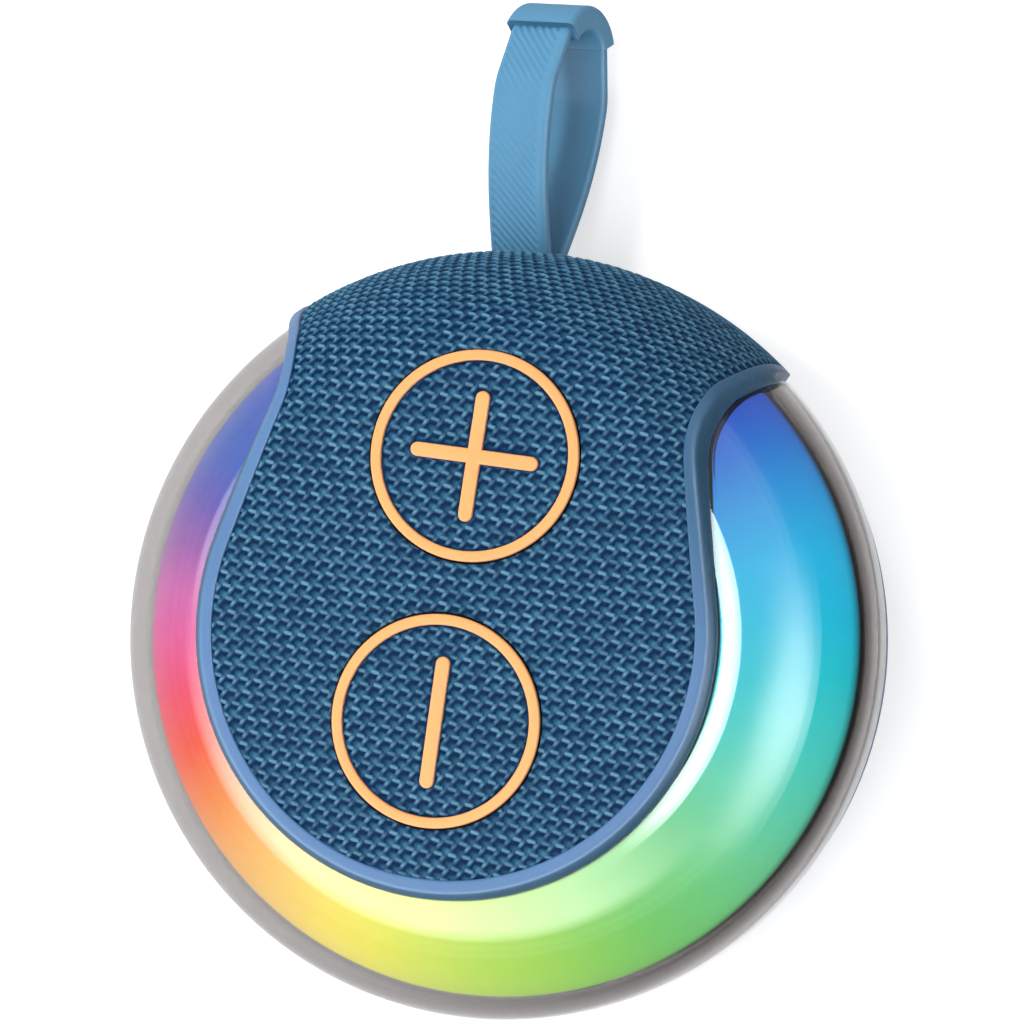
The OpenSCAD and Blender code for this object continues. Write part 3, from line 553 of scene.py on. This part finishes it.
# ---------------- knitted cover
KNIT_ACROSS, KNIT_DOWN, KNIT_LEAN = 1.80, 1.61, 0.58  # pitch across and down, and shift from row to row
YARNS = [  # from, to, half width, crest height, sag of the ends
    ((-0.30, 0.06), (0.38, -0.06), 0.30, 1.0, 0.0),
    ((-0.98, 0.52), (-0.22, 0.20), 0.52, 0.66, 0.35),
    ((-0.92, -0.18), (-1.38, -0.82), 0.29, 0.94, 0.35),
]
TONES = 64  # stitches each way after which the tones repeat
yarn_tones = np.random.default_rng(7).random((TONES, TONES, len(YARNS)))
KNIT_REACH, KNIT_STEP, KNIT_DEPTH = 76.0, 0.17, 0.42
KNIT_TOP, SKIRT_DEPTH = 0.06, 0.85  # how far the crests and the skirt's foot lie under the crown
TUCK = 0.35  # how far the knit goes in under the trim
EDGE_WIDTH, EDGE_SINK, EDGE_CALM = 0.9, 0.28, 0.6  # near an edge the knit sinks, and its yarns flatten
# beside a mark the knit sinks a little, and a drop of the yarn value paints a shadow line round the mark
PINCH_WIDTH, PINCH_SINK, PINCH_SHADE = 0.45, 0.1, 0.85  # and so it does beside a mark
HOLE_R, DISC_R = MARK_R + 0.25, MARK_R - 0.05


def knit_height(u, v):
    """Height (0 to 1) of the knit at (u, v), and the tone (0 to 1) of the yarn on top there."""
    row0 = np.round(-v / KNIT_DOWN)
    col0 = np.round((u - KNIT_LEAN * row0) / KNIT_ACROSS)
    best, tone = np.zeros_like(u), np.full_like(u, 0.5)
    for dr in (-1, 0, 1):
        for dc in (-1, 0, 1):
            row, col = row0 + dr, col0 + dc
            x = u - KNIT_ACROSS * col - KNIT_LEAN * row
            y = v + KNIT_DOWN * row
            for k, ((x0, y0), (x1, y1), half, crest, sag) in enumerate(YARNS):
                dx, dy = x1 - x0, y1 - y0
                t = np.clip(((x - x0) * dx + (y - y0) * dy) / (dx * dx + dy * dy), 0, 1)
                gone = ((x - x0 - t * dx) ** 2 + (y - y0 - t * dy) ** 2) / half**2
                shift = yarn_tones[row.astype(int) % TONES, col.astype(int) % TONES, k]
                bend = 1 - sag * (2 * t - 1) ** 2
                top = crest * (0.9 + 0.2 * shift) * np.sqrt(np.maximum(1 - gone, 0)) * bend
                higher = top > best
                best = np.where(higher, top, best)
                tone = np.where(higher, shift, tone)
    return np.minimum(best, 1.0), tone


def knit_patch(name, body, replaced):
    """Part of the knitted skin: the cells of a fine grid over the crown that lie inside the fabric's edge."""
    n = int(KNIT_REACH / KNIT_STEP)
    axis = np.arange(-n, n + 1) * KNIT_STEP
    u, v = np.meshgrid(axis, axis, indexing="ij")
    rho = np.hypot(u, v)
    flat = crown_point(np.interp(rho, row_length, row_a), np.arctan2(v, u), 0.0)
    x, y, z = flat[..., 0], flat[..., 1], flat[..., 2]
    circle, trim = edge_gaps(name, x, y, z)
    inside = (circle > -0.5 * KNIT_STEP) & (trim > -TUCK) & (rho < row_length[-1])
    cells = inside[:-1, :-1] & inside[1:, :-1] & inside[:-1, 1:] & inside[1:, 1:]
    used = np.zeros_like(inside)
    for di in (0, 1):
        for dj in (0, 1):
            used[di: di + cells.shape[0], dj: dj + cells.shape[1]] |= cells
    index = np.full(inside.shape, -1)
    index[used] = np.arange(used.sum())
    i, j = np.nonzero(cells)
    quads = np.stack([index[i, j], index[i + 1, j], index[i + 1, j + 1], index[i, j + 1]], -1)

    height, tone = knit_height(u[used], v[used])
    x, y = snap_circles(x[used], y[used], HOLE_R if name == "knit_cover" else DISC_R)
    z = z[used]
    a, phi = crown_angle(np.stack([x, y, z], -1))
    edge = (1 - np.clip(np.minimum(*edge_gaps(name, x, y, z)) / EDGE_WIDTH, 0, 1)) ** 2
    depth = KNIT_TOP + KNIT_DEPTH * (1 - height) * (1 - EDGE_CALM * edge) + EDGE_SINK * edge
    if name != "knit_cover":
        # painted shade: beside a mark the yarn value drops, darkening the knit's colour into a shadow line;
        # the sink below is real
        pinch = pinched(x, y)
        height = height * (1 - PINCH_SHADE * pinch)
        depth = depth + PINCH_SINK * pinch
    verts = crown_point(a, phi, depth)

    # A skirt goes down from every edge that only one cell has
    sides = np.concatenate([quads[:, [k, (k + 1) % 4]] for k in range(4)])
    low, high = np.sort(sides, axis=1).T
    _, first, times = np.unique(low * len(verts) + high, return_index=True, return_counts=True)
    border = sides[first[times == 1]]
    rim = np.unique(border)
    below = np.full(len(verts), -1)
    below[rim] = len(verts) + np.arange(len(rim))
    skirt = np.stack([border[:, 1], border[:, 0], below[border[:, 0]], below[border[:, 1]]], -1)
    verts = np.concatenate([verts, crown_point(a[rim], phi[rim], SKIRT_DEPTH)])
    obj = mesh_object(name, verts, np.concatenate([quads, skirt]), body, materials["knit"])
    point_values(obj.data, "yarn", np.concatenate([height, np.zeros(len(rim))]))
    point_values(obj.data, "tone", np.concatenate([tone, np.full(len(rim), 0.5)]))
    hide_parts(replaced)


def edge_gaps(name, x, y, z):
    """Distances inside a fabric's edge: from the circles round the marks, and from the trim."""
    if name == "knit_cover":
        circles = [np.hypot(x, y - cy) - HOLE_R for cy in (PLUS_Y, MINUS_Y)]
        return np.min(circles, axis=0), np.minimum(keyhole_gap(x, y) - TRIM_W, z - REAR_H - LIP_H)
    cy = PLUS_Y if name == "knit_plus" else MINUS_Y
    return DISC_R - np.hypot(x, y - cy), np.full_like(x, np.inf)


def pinched(x, y):
    """1 where the fabric is pinched against a mark, and 0 from PINCH_WIDTH away; there the knit sinks a
    little and a painted shadow line darkens it.
    """
    gaps = []
    reach = BAR_L / 2 - BAR_W / 2
    for cy, plus in ((PLUS_Y, True), (MINUS_Y, False)):
        gaps.append(np.hypot(x, y - cy) - (MARK_R - MARK_W))
        gaps.append(np.hypot(x, y - cy - np.clip(y - cy, -reach, reach)) - BAR_W / 2)
        if plus:
            gaps.append(np.hypot(x - np.clip(x, -reach, reach), y - cy) - BAR_W / 2)
    return np.clip(1 - np.min(np.abs(gaps), axis=0) / PINCH_WIDTH, 0, 1)


def snap_circles(x, y, radius):
    """Moves points that are near a circle round a mark's centre onto it."""
    for cy in (PLUS_Y, MINUS_Y):
        d = np.hypot(x, y - cy)
        near = np.abs(d - radius) < 0.6 * KNIT_STEP
        scale = np.where(near, radius / np.maximum(d, 1e-6), 1.0)
        x, y = x * scale, cy + (y - cy) * scale
    return x, y


knit_patch("knit_cover", "housing", "fabric_cover")
knit_patch("knit_plus", "plus_key", "plus_fabric")
knit_patch("knit_minus", "minus_key", "minus_fabric")


# ---------------- front frame (trim)
TRIM_DEEP, TRIM_LAP = 3.3, 0.55  # depth of the band, and how far it laps over the clear ring
TRIM_OUT, TRIM_IN = 0.78, 0.3  # where its outer rounding ends, and the radius of the inner one
TRIM_STEP, CORNER_REACH = 0.45, 2.2
LAP_FROM, LAP_GROWS, LAP_GAP = 7.0, 6.0, 0.03  # the lap's start and growth from the keyhole's ends; its gap
TIP_PLAN = (0.803, 0.596, 0.0)  # plan direction of the outline at its tips, where it turns straight down
STEEP = 0.2
UP = np.array([0, 0, 1.0])
CREST_SHADE, SHADE_X, SHADE_Y = 0.75, (0, 12), (-2, 20)  # painted shade: the crest's lit colour darkens over these stretches of x and y, towards the upper right shoulder


def frame_path():
    """The trim's outer edge as two runs: the keyhole with its two upright ends, and the low lip."""
    tip = tip_angle(CROWN_R)
    theta = np.linspace(tip, -math.pi - tip, 900)
    plan_r = outline_radius(theta)
    x, y = plan_r * np.cos(theta), plan_r * np.sin(theta)
    keyhole = crown_point(np.interp(np.hypot(x, y), rim_r, rim_a), np.arctan2(y, x), 0.0)
    down = np.linspace(ARC_Z, REAR_H, 9)[1:]
    right, left = polar(CROWN_R, tip, down[::-1]), polar(CROWN_R, math.pi - tip, down)
    phi = np.linspace(math.pi - tip, tip, 150)[1:-1]
    return np.concatenate([right, keyhole, left]), polar(CROWN_R, phi, REAR_H)


def resample(points, step):
    length = length_along(points)
    at = np.linspace(0, length[-1], max(3, int(round(length[-1] / step))))
    return np.stack([np.interp(at, length, points[:, k]) for k in range(3)], -1)


def trim_run(path, keyhole):
    """Places along a run, and two directions at each: inward along the crown, and down the trim's wall."""
    run = resample(path, TRIM_STEP)
    tangent = unit(np.gradient(run, axis=0))
    normal = crown_normal(*crown_angle(run))
    inward = unit(np.cross(tangent, normal))
    wall = -normal
    if keyhole:  # its wall stands upright, square to the path in plan
        level = tangent * (1, 1, 0)
        tip_plan = -np.stack([np.sign(run[:, 0]), np.ones(len(run)), np.zeros(len(run))], -1) * TIP_PLAN
        flat = np.where(np.hypot(level[:, 0], level[:, 1])[:, None] > STEEP, unit(level), tip_plan)
        wall = -unit(normal[:, 2:] * UP + (normal * flat).sum(1, keepdims=True) * flat)
    return [run, inward, wall]


def trim_corner(before, after, point):
    """A rounded corner from the last place of one run to the first of the next, near the point between."""
    t = np.linspace(0, 1, 9)[1:-1, None]

    def curve(start, through, end):
        return (1 - t) ** 2 * start + 2 * t * (1 - t) * through + t**2 * end

    mitre = (before[1] + after[1]) / (1 + before[1] @ after[1])
    return [curve(before[0], point, after[0]), curve(before[1], mitre, after[1]),
            unit((1 - t) * before[2] + t * after[2])]


def trim_places():
    """The whole closed path, as trim_run() gives it, and the number of places in its keyhole run."""
    runs = [trim_run(path, k == 0) for k, path in enumerate(frame_path())]
    ends = runs[0][0][[0, -1]]
    cut = []
    for run in runs:
        reach = np.linalg.norm(run[0][:, None] - run[0][[0, -1]], axis=2)
        far = (reach > CORNER_REACH).all(axis=1)
        cut.append([part[far] for part in run])
    first, last = ([[part[k] for part in run] for run in cut] for k in (0, -1))
    parts = [cut[0], trim_corner(last[0], first[1], ends[1]), cut[1], trim_corner(last[1], first[0], ends[0])]
    return [np.concatenate(part) for part in zip(*parts)], len(cut[0][0])


def build_trim():
    """The trim: a band with rounded edges swept along the keyhole and the lip on the strap's side."""
    (run, inward, wall), keyhole = trim_places()
    # Section from the outer wall's foot over the top to the inner wall's foot: distance inward, and depth
    outer = [(0, TRIM_DEEP), (0, 2.3), (0, 1.75), (0.05, 1.5), (0.2, 1.1), (0.37, 0.65), (0.53, 0.24),
             (0.6, 0.1), (0.7, 0.02)]
    # The outer part where the trim laps over the ring: distance inward, and share of the way down to the ring
    lapped = [(0, None), (0, 1.0), (-TRIM_LAP, 1.0), (-TRIM_LAP - 0.02, 0.86), (-0.42, 0.66), (-0.16, 0.44),
              (0.18, 0.22), (0.38, 0.08), (0.62, 0.01)]
    inner = [(g, 0) for g in np.linspace(TRIM_OUT, TRIM_W - TRIM_IN, 5)[1:]]
    inner += [(TRIM_W - TRIM_IN + TRIM_IN * math.sin(t), TRIM_IN * (1 - math.cos(t)))
              for t in np.linspace(0, math.pi / 2, 5)[1:]]
    inner += [(TRIM_W, 0.9), (TRIM_W, TRIM_DEEP - 0.5)]

    reach = length_along(run[:keyhole])
    weight = np.zeros((len(run), 1))
    weight[:keyhole, 0] = smooth_step((np.minimum(reach, reach[-1] - reach) - LAP_FROM) / LAP_GROWS)

    def sunk(g):
        """The crown's surface at a distance inward of the path."""
        at = run + inward * g
        surface = crown_point(*crown_angle(at), 0.0)
        low = at[:, 2] < ARC_Z
        surface[low, 2] = np.maximum(at[low, 2], REAR_H)
        return surface

    rings = [sunk(g) + wall * d for g, d in outer + inner]
    for k, (g, share) in enumerate(lapped):
        surface = sunk(g)
        plan = np.minimum(np.hypot(surface[:, 0], surface[:, 1]) - RING_C, RING_ARC_R)
        gap = surface[:, 2] - ARC_Z - np.sqrt(RING_ARC_R**2 - plan**2) - LAP_GAP
        down = np.full(len(run), TRIM_DEEP) if share is None else share * gap
        rings[k] = rings[k] + (surface - UP * down[:, None] - rings[k]) * weight
    verts, quads = loft(np.stack(rings, 1), True, True)
    obj = mesh_object("front_trim", verts, quads.tolist(), "housing", materials["trim_abs"])
    # painted light: crest 1 gives the lit top face its colour, and 0 gives the walls their painted shade
    across = [0.0] * 6 + [0.12, 0.6, 0.95] + [1.0] * (len(inner) - 2) + [0.3, 0.0]
    # painted shade over the upper right shoulder, where the crest's lit colour dims
    painted_shade = np.interp(run[:, 0], SHADE_X, (0, 1)) * np.interp(run[:, 1], SHADE_Y, (0, 1))
    point_values(obj.data, "crest", np.outer(1 - CREST_SHADE * painted_shade, across))
    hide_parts("front_frame")


build_trim()


# ---------------- orange marks
MARK_TOP, MARK_FOOT, MARK_EDGE = 0.19, 0.55, 0.34  # height over the crown, depth under it, radius of the edge


def raised(name, outlines, body, closed_top):
    """A raised mark from nested outlines, each with its plan points (n, 2) and its height above the crown."""
    rings = np.stack([np.column_stack([loop, np.interp(np.hypot(*loop.T), rim_r, rim_z) + height])
                      for loop, height in outlines])
    verts, quads = loft(rings, False, True)
    faces = quads[:, ::-1].tolist()
    if closed_top:
        faces.append(list(range(len(verts) - rings.shape[1], len(verts))))
    obj = mesh_object(name, verts, faces, body, materials["orange_tpu"])
    return obj


def mark_edge():
    """Insets and heights of a mark's rounded edge, from its foot up."""
    steps = [(0.0, -MARK_FOOT), (0.0, MARK_TOP - MARK_EDGE)]
    return steps + [(MARK_EDGE * (1 - math.cos(t)), MARK_TOP - MARK_EDGE * (1 - math.sin(t)))
                    for t in np.linspace(0, math.pi / 2, 6)[1:]]


def sign_outline(half, arms):
    """Outline of a plus or a minus with round ends, from its arms, each a number of quarter turns from +x."""
    reach = BAR_L / 2 - BAR_W / 2
    side = np.linspace(half if len(arms) > 2 else 0.0, reach, 24)
    t = np.linspace(-math.pi / 2, math.pi / 2, 17)[1:-1]
    x = np.concatenate([side, reach + half * np.cos(t), side[:0:-1]])
    y = np.concatenate([np.full(len(side), -half), half * np.sin(t), np.full(len(side) - 1, half)])
    turns = [(math.cos(arm * math.pi / 2), math.sin(arm * math.pi / 2)) for arm in arms]
    return np.concatenate([np.stack([c * x - s * y, s * x + c * y], -1) for c, s in turns])


def build_marks():
    t = whole_turn(240)
    circle = np.stack([np.cos(t), np.sin(t)], -1)
    for label, cy, arms in (("plus", PLUS_Y, (0, 1, 2, 3)), ("minus", MINUS_Y, (1, 3))):
        outer = [((MARK_R - inset) * circle + (0, cy), height) for inset, height in mark_edge()]
        inner = [((MARK_R - MARK_W + inset) * circle + (0, cy), height) for inset, height in mark_edge()]
        ring = raised(label + "_ring", outer + inner[::-1], label + "_key", False)
        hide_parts(label + "_mark")
        centre = place(POINTS[label + "_sign"], surface_tree("knit_" + label))[:2]
        sign = [(sign_outline(BAR_W / 2 - inset, arms) + centre, height) for inset, height in mark_edge()]
        raised(label + "_sign", sign, label + "_key", True)


build_marks()


# ---------------- clear ring and diffuser
RING_CUT = 0.4  # how far inside its rim the ring ends at the keyhole's tips
COVER_GAP, GLOW_GAP = 0.15, 0.3  # how far the clear ring and the diffuser keep off the keyhole's outline
GLOW_DEPTHS, GLOW_FLOOR = (3.0, 4.6), 15.4


def ring_section(depth, r_in, floor):
    """Points (r, z) from each radius of r_in over the ring's curve and down to floor."""
    radius = RING_ARC_R - depth
    start = np.arccos(np.clip((r_in - RING_C) / radius, -1, 1))
    t = np.linspace(1, 0, 64) * start[:, None]
    r, z = RING_C + radius * np.cos(t), ARC_Z + radius * np.sin(t)
    z[:, -1] = ARC_Z
    down = np.linspace(ARC_Z, floor, 6)[1:]
    r = np.concatenate([r, np.full((len(r_in), len(down)), RING_R - depth)], 1)
    z = np.concatenate([z, np.tile(down, (len(r_in), 1))], 1)
    return r, z


def ring_shape(name, depths, inset, floor, material, node):
    """Closed shell between two depths of the ring's surface, outside the keyhole grown by inset."""
    tip = tip_angle(RING_R - RING_CUT, -inset)
    theta = np.linspace(tip, -math.pi - tip, 720)
    r_in = outline_radius(theta, -inset)
    outer_r, outer_z = ring_section(depths[0], r_in, floor)
    inner_r, inner_z = ring_section(depths[1], np.minimum(r_in, RING_R - depths[1] - 0.01), floor)
    r = np.concatenate([outer_r, inner_r[:, ::-1]], 1)
    z = np.concatenate([outer_z, inner_z[:, ::-1]], 1)
    verts, quads = loft(polar(r, theta[:, None], z), False, True)
    faces = quads[:, ::-1].tolist()
    m = r.shape[1]
    for base, turn in ((0, 1), (len(verts) - m, -1)):
        for k in range(m // 2 - 1):
            faces.append([base + k, base + k + 1, base + m - 2 - k, base + m - 1 - k][::turn])
    obj = mesh_object(name, verts, faces, "housing", material)
    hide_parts(node)


ring_shape("light_ring_cover", (0.0, COVER_T), COVER_GAP, REAR_H, materials["clear_pc"],
           "light_cover")
ring_shape("light_ring_glow", GLOW_DEPTHS, GLOW_GAP, GLOW_FLOOR, materials["glow"],
           "light_diffuser")


# ---------------- strap
RIB_DEPTH, RIB_PITCH, RIB_LEAN = 0.25, 1.22, 1.05
RIB_FADES = ((0.3, 0.3), (1.35, 0.25))  # at each edge: plain margin, and distance over which the ribs fade
BAND_SKIN, BAND_R, SLEEVE_R = 0.3, 0.7, 0.8  # the band stays this much thinner, for the ribs; edge radii


def loop_centre(inset, count):
    """Middle line of the strap band in its own plane: (along, across) points round a hull of circles."""
    steps = 24
    circles = []
    for k in range(steps + 1):
        swell = math.sin(math.pi / 2 * k / steps)
        circles.append((LOOP_PEAK * k / steps, (LOOP_FOOT + (LOOP_DEPTH - LOOP_FOOT) * swell) / 2))
    circles.append((STRAP_L - LOOP_TOP_R, LOOP_TOP_R))
    t = np.linspace(-math.pi, math.pi, 2880, endpoint=False)
    support = np.max([x * np.cos(t) + r - inset for x, r in circles], axis=0)
    slope = (np.roll(support, -1) - np.roll(support, 1)) / (2 * (t[1] - t[0]))
    outline = np.stack([support * np.cos(t) - slope * np.sin(t), support * np.sin(t) + slope * np.cos(t)], -1)
    outline = np.concatenate([outline, outline[:1]])
    length = length_along(outline)
    at = np.linspace(0, length[-1], count, endpoint=False)
    return np.stack([np.interp(at, length, outline[:, k]) for k in (0, 1)], -1), at


def strap_frame(along, across, sideways):
    """From the loop's own directions to the row frame."""
    c, s = math.cos(math.radians(-STRAP_TWIST)), math.sin(math.radians(-STRAP_TWIST))
    return np.stack([STRAP_X + sideways * c + across * s, LOOP_Y + along,
                     STRAP_Z - sideways * s + across * c], -1)


def band_section(width, thick, round_r, flat_steps, arc_steps):
    """Rounded rectangle as (sideways, outward) points and flags of its outer face, anticlockwise."""
    points, face = [], []
    w, t = width / 2 - round_r, thick / 2 - round_r
    corners = [(w, t), (-w, t), (-w, -t), (w, -t)]
    for k, corner in enumerate(corners):
        turn = np.radians(90 * k + np.linspace(0, 90, arc_steps))
        points += list(corner + round_r * np.stack([np.cos(turn), np.sin(turn)], -1))
        steps = flat_steps if k % 2 == 0 else 3
        start, end = points[-1], points[-1] + np.subtract(corners[(k + 1) % 4], corner)
        points += [start + (end - start) * q for q in np.linspace(0, 1, steps + 2)[1:-1]]
        face += [0.0] * arc_steps + [float(k == 0)] * steps
    return np.array(points), np.array(face)


def rib_grooves(at, side, face):
    """How far the ribs' grooves lie under the band's outer face, at distances along it and sideways."""
    wave = 0.5 + 0.5 * np.cos(2 * math.pi * (at[:, None] - side * RIB_LEAN) / RIB_PITCH)
    (left, left_fade), (right, right_fade) = RIB_FADES
    fade = np.clip((side + STRAP_W / 2 - left) / left_fade, 0, 1)
    fade = fade * np.clip((STRAP_W / 2 - right - side) / right_fade, 0, 1)
    return RIB_DEPTH * (1 - wave) * fade * face


def sweep_band(name, centre, section, grooves, closed):
    """A band swept along its middle line, round the whole loop or over an open stretch with closed ends."""
    around = np.roll(centre, -1, axis=0) - np.roll(centre, 1, axis=0)
    tangent = unit(around if closed else np.gradient(centre, axis=0))
    push = section[:, 1] - grooves
    along = centre[:, 0:1] + tangent[:, 1:2] * push
    across = centre[:, 1:2] - tangent[:, 0:1] * push
    rings = strap_frame(along, across, np.broadcast_to(section[:, 0], along.shape))
    verts, quads = loft(rings, closed, True)
    faces = quads.tolist()
    return strap_piece(name, verts, faces if closed else faces + end_caps(rings))


def end_caps(rings):
    """The first and the last ring as faces that look away from each other."""
    n, m = rings.shape[:2]
    return [list(range(m))[::-1], list(range((n - 1) * m, n * m))]


def strap_piece(name, verts, faces):
    obj = mesh_object(name, verts, faces, "strap_loop", materials["sky_silicone"])
    return obj


def build_strap():
    centre, at = loop_centre(STRAP_T / 2, 460)
    section, face = band_section(STRAP_W, STRAP_T - BAND_SKIN, BAND_R, 44, 5)
    band = sweep_band("strap_band", centre, section, rib_grooves(at, section[:, 0], face), True)
    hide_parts("strap")
    order = np.nonzero(centre[:, 0] > STRAP_L - SLEEVE_L)[0]
    cut = np.nonzero(np.diff(order) > 1)[0]
    if len(cut):
        order = np.roll(order, -cut[0] - 1)
    section, _ = band_section(STRAP_W + 2 * SLEEVE_T, STRAP_T + 2 * SLEEVE_T, SLEEVE_R, 8, 6)
    sweep_band("strap_sleeve", centre[order], section, 0.0, False)
    # The neck between the loop and the pin: y, half width and half height of its oval sections
    neck = ((44.6, 3.0, 2.0), (45.5, 4.1, 3.0), (46.8, 3.4, 3.0), (48.5, 3.0, 2.9), (49.8, 3.3, 3.0),
            (50.6, 3.6, 2.4), (51.1, 3.4, 1.2))
    t = whole_turn(40)
    rings = np.stack([np.stack([STRAP_X + rx * np.cos(t), np.full_like(t, y), STRAP_Z + rz * np.sin(t)], -1)
                      for y, rx, rz in neck])
    verts, quads = loft(rings, False, True)
    strap_piece("strap_neck", verts, quads.tolist() + [cap[::-1] for cap in end_caps(rings)])


build_strap()


def soften_surround():
    """Gives the driver's rubber roll a mesh of its own and finds its top; it moves nothing."""
    surround = frame["nodes"]["driver_surround"]
    top = finished_vertices(surround)[:, 2].max()
    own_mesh(surround)


soften_surround()


# ---------------- stage, lights and world
WHITE = (1, 1, 1, 1)
MIDDLE = (0, 0, 30)
FLOOR_HALF = 3.0  # in metres
CARD_Z, PANEL_Z = 0.6, 40.0


def make_floor():
    """A matt floor that also gives off light of its own to rays that look at it."""
    n = Nodes("floor")
    grey = n.ramp(n.noise(6.0, 2.0), (0.3, (0.58, 0.58, 0.585)), (0.7, (0.6, 0.6, 0.6)))
    matt = n.put(n.add("BsdfDiffuse"), Color=grey)
    glow = n.put(n.add("Emission"), Color=WHITE, Strength=n.math("MULTIPLY", n.looked_at(), 0.62))
    mesh = bpy.data.meshes.new("floor")
    h = FLOOR_HALF
    mesh.from_pydata([(-h, -h, 0), (h, -h, 0), (h, h, 0), (-h, h, 0)], [], [(0, 1, 2, 3)])
    mesh.materials.append(n.finish(n.fill(n.add("AddShader"), matt.outputs[0], glow.outputs[0])))
    floor = new_object("floor", mesh)


def make_world(strength):
    """Light that weakens from -Y to +Y, and white for rays that look at it."""
    n = Nodes("studio", world=True)
    bpy.context.scene.world = n.owner
    y = n.fill(n.add("SeparateXYZ"), n.add("TexCoord").outputs["Generated"]).outputs[1]
    level = n.span(y, -0.6, 0.9, strength * 1.2, strength * 0.45)
    plain = n.put(n.add("Background"), Color=WHITE, Strength=level)
    white = n.put(n.add("Background"), Color=WHITE, Strength=1.0)
    n.finish(n.fill(n.add("MixShader"), n.looked_at(), plain.outputs[0], white.outputs[0]))


def area_light(name, at, aim, size, watts, colour=(1, 1, 1)):
    """A square light that no reflection or clear piece shows."""
    data = bpy.data.lights.new(name, "AREA")
    data.size, data.energy, data.color = size * MM, watts, colour
    obj = new_object(name, data)
    at, aim = Vector(at) * MM, Vector(aim) * MM
    obj.location = at
    obj.rotation_euler = (aim - at).to_track_quat("-Z", "Y").to_euler()
    obj.visible_glossy = False
    obj.visible_transmission = False


def studio_card(name, rings, closed, fade, kind, **values):
    """A card or soft box that shows only in reflections and through clear pieces, as far as fade says."""
    verts, quads = loft(rings, False, closed)
    n = Nodes(name)
    surface = n.put(n.add(kind), **values).outputs[0]
    clear = n.add("BsdfTransparent").outputs[0]
    mesh = bpy.data.meshes.new(name)
    mesh.from_pydata([tuple(p * MM) for p in verts], [], quads.tolist())
    mesh.materials.append(n.finish(n.fill(n.add("MixShader"), n.value("fade"), clear, surface)))
    point_values(mesh, "fade", fade)
    obj = new_object(name, mesh)
    obj.visible_camera = False
    obj.visible_diffuse = False
    obj.visible_shadow = False


def reflected_panel(name, azimuths, tilts, ends, soft, strength, distance, taper=None):
    """A curved soft box round the ring, between azimuths and tilts from +Z in degrees.

    It fades over shares of its length at both ends and of its width at both sides. A taper, as a share of the
    length and of the width, narrows its first end.
    """
    u, v = np.meshgrid(np.linspace(0, 1, 64), np.linspace(0, 1, 16), indexing="ij")
    low = np.full_like(u, tilts[0])
    if taper:
        low += (tilts[1] - tilts[0]) * np.clip(1 - u / taper[0], 0, 1) ** 1.5 * taper[1]
    azimuth = np.radians(azimuths[0] + (azimuths[1] - azimuths[0]) * u)
    tilt = np.radians(low + (tilts[1] - low) * v)
    fade = np.clip(u / ends[0], 0, 1) * np.clip((1 - u) / ends[1], 0, 1)
    fade = smooth_step(fade * np.clip(np.minimum(v, 1 - v) / soft, 0, 1))
    rings = (0, 0, PANEL_Z) + distance * polar(np.sin(tilt), azimuth, np.cos(tilt))
    studio_card(name, rings, False, fade, "Emission", Strength=strength, Color=WHITE)


def dark_card():
    """A black card round the object that draws the ring's smoky edge, strongest on the side of +X."""
    radii = np.array([52.0, 56.0, 60.0, 66.0, 90.0, 130.0, 220.0, 500.0, 800.0])
    fades = np.array([0.0, 0.3, 0.7, 1.0, 1.0, 1.0, 1.0, 0.7, 0.0])
    t = whole_turn(96)
    rings = polar(radii[:, None], t, CARD_Z)
    fade = np.outer(fades, 0.42 + 0.58 * ((1 + np.cos(t)) / 2) ** 1.4)
    studio_card("dark_card", rings, True, fade, "BsdfDiffuse", Color=(0.03, 0.027, 0.025, 1))


make_floor()
make_world(0.56)
dark_card()
# Panels: azimuths, tilts, fading ends and sides, strength, distance, taper
reflected_panel("crescent_panel", (46, -66), (50.6, 60.4), (0.02, 0.3), 0.06, 19.0, 700.0, (0.16, 1.0))
reflected_panel("oval_panel", (31, -46), (70, 110), (0.5, 0.5), 0.42, 6.5, 190.0)
reflected_panel("left_panel", (146, 190), (73, 81), (0.4, 0.4), 0.3, 5.0, 700.0)
reflected_panel("lower_panel", (-32, -188), (46, 84), (0.25, 0.3), 0.1, 7.0, 260.0)
# Lights: place, aim, size, power, colour
area_light("key", (-60, -120, 700), MIDDLE, 260, 1.55)
area_light("left", (-330, 160, 540), MIDDLE, 90, 1.5)
area_light("fill", (330, -320, 520), MIDDLE, 260, 0.6, (0.87, 0.9, 1.0))
area_light("top", (-200, 460, 300), (0, 70, 15), 160, 0.9)


# ---------------- where the finished pieces put the image points, worked out but not written anywhere
FOOT_ROWS = 2.5  # half height, in pixels, of the strip that shows where the strap's foot is
RIGHT_LEAN, LEFT_LEAN = 0.3, 0.35  # a shoulder's point is the one furthest out along a leaning direction


def middle(pixels):
    return (pixels.min(axis=0) + pixels.max(axis=0)) / 2


def write_points():
    marks = ("plus_ring", "minus_ring", "plus_sign", "minus_sign")
    others = ("front_trim", "light_ring_cover", "knit_cover", "strap_band", "strap_sleeve")
    seen = {name: project(finished_vertices(bpy.data.objects[name])) for name in marks + others}
    trim, sleeve, band = seen["front_trim"], seen["strap_sleeve"], seen["strap_band"]
    foot_y = POINTS["strap_foot_left"][1]
    foot = band[np.abs(band[:, 1] - foot_y) < FOOT_ROWS, 0]
    shown = {name: middle(seen[name]) for name in marks}
    shown["right_shoulder"] = trim[np.argmax(trim[:, 0] - RIGHT_LEAN * trim[:, 1])]
    shown["left_shoulder"] = trim[np.argmin(trim[:, 1] + LEFT_LEAN * trim[:, 0])]
    shown["strap_foot_left"] = (foot.min(), foot_y)
    shown["strap_foot_right"] = (foot.max(), foot_y)
    shown["sleeve_left"] = sleeve[np.argmin(sleeve[:, 0])]
    shown["sleeve_right"] = sleeve[np.argmax(sleeve[:, 0])]


write_points()

bpy.context.scene.view_settings.view_transform = "Standard"
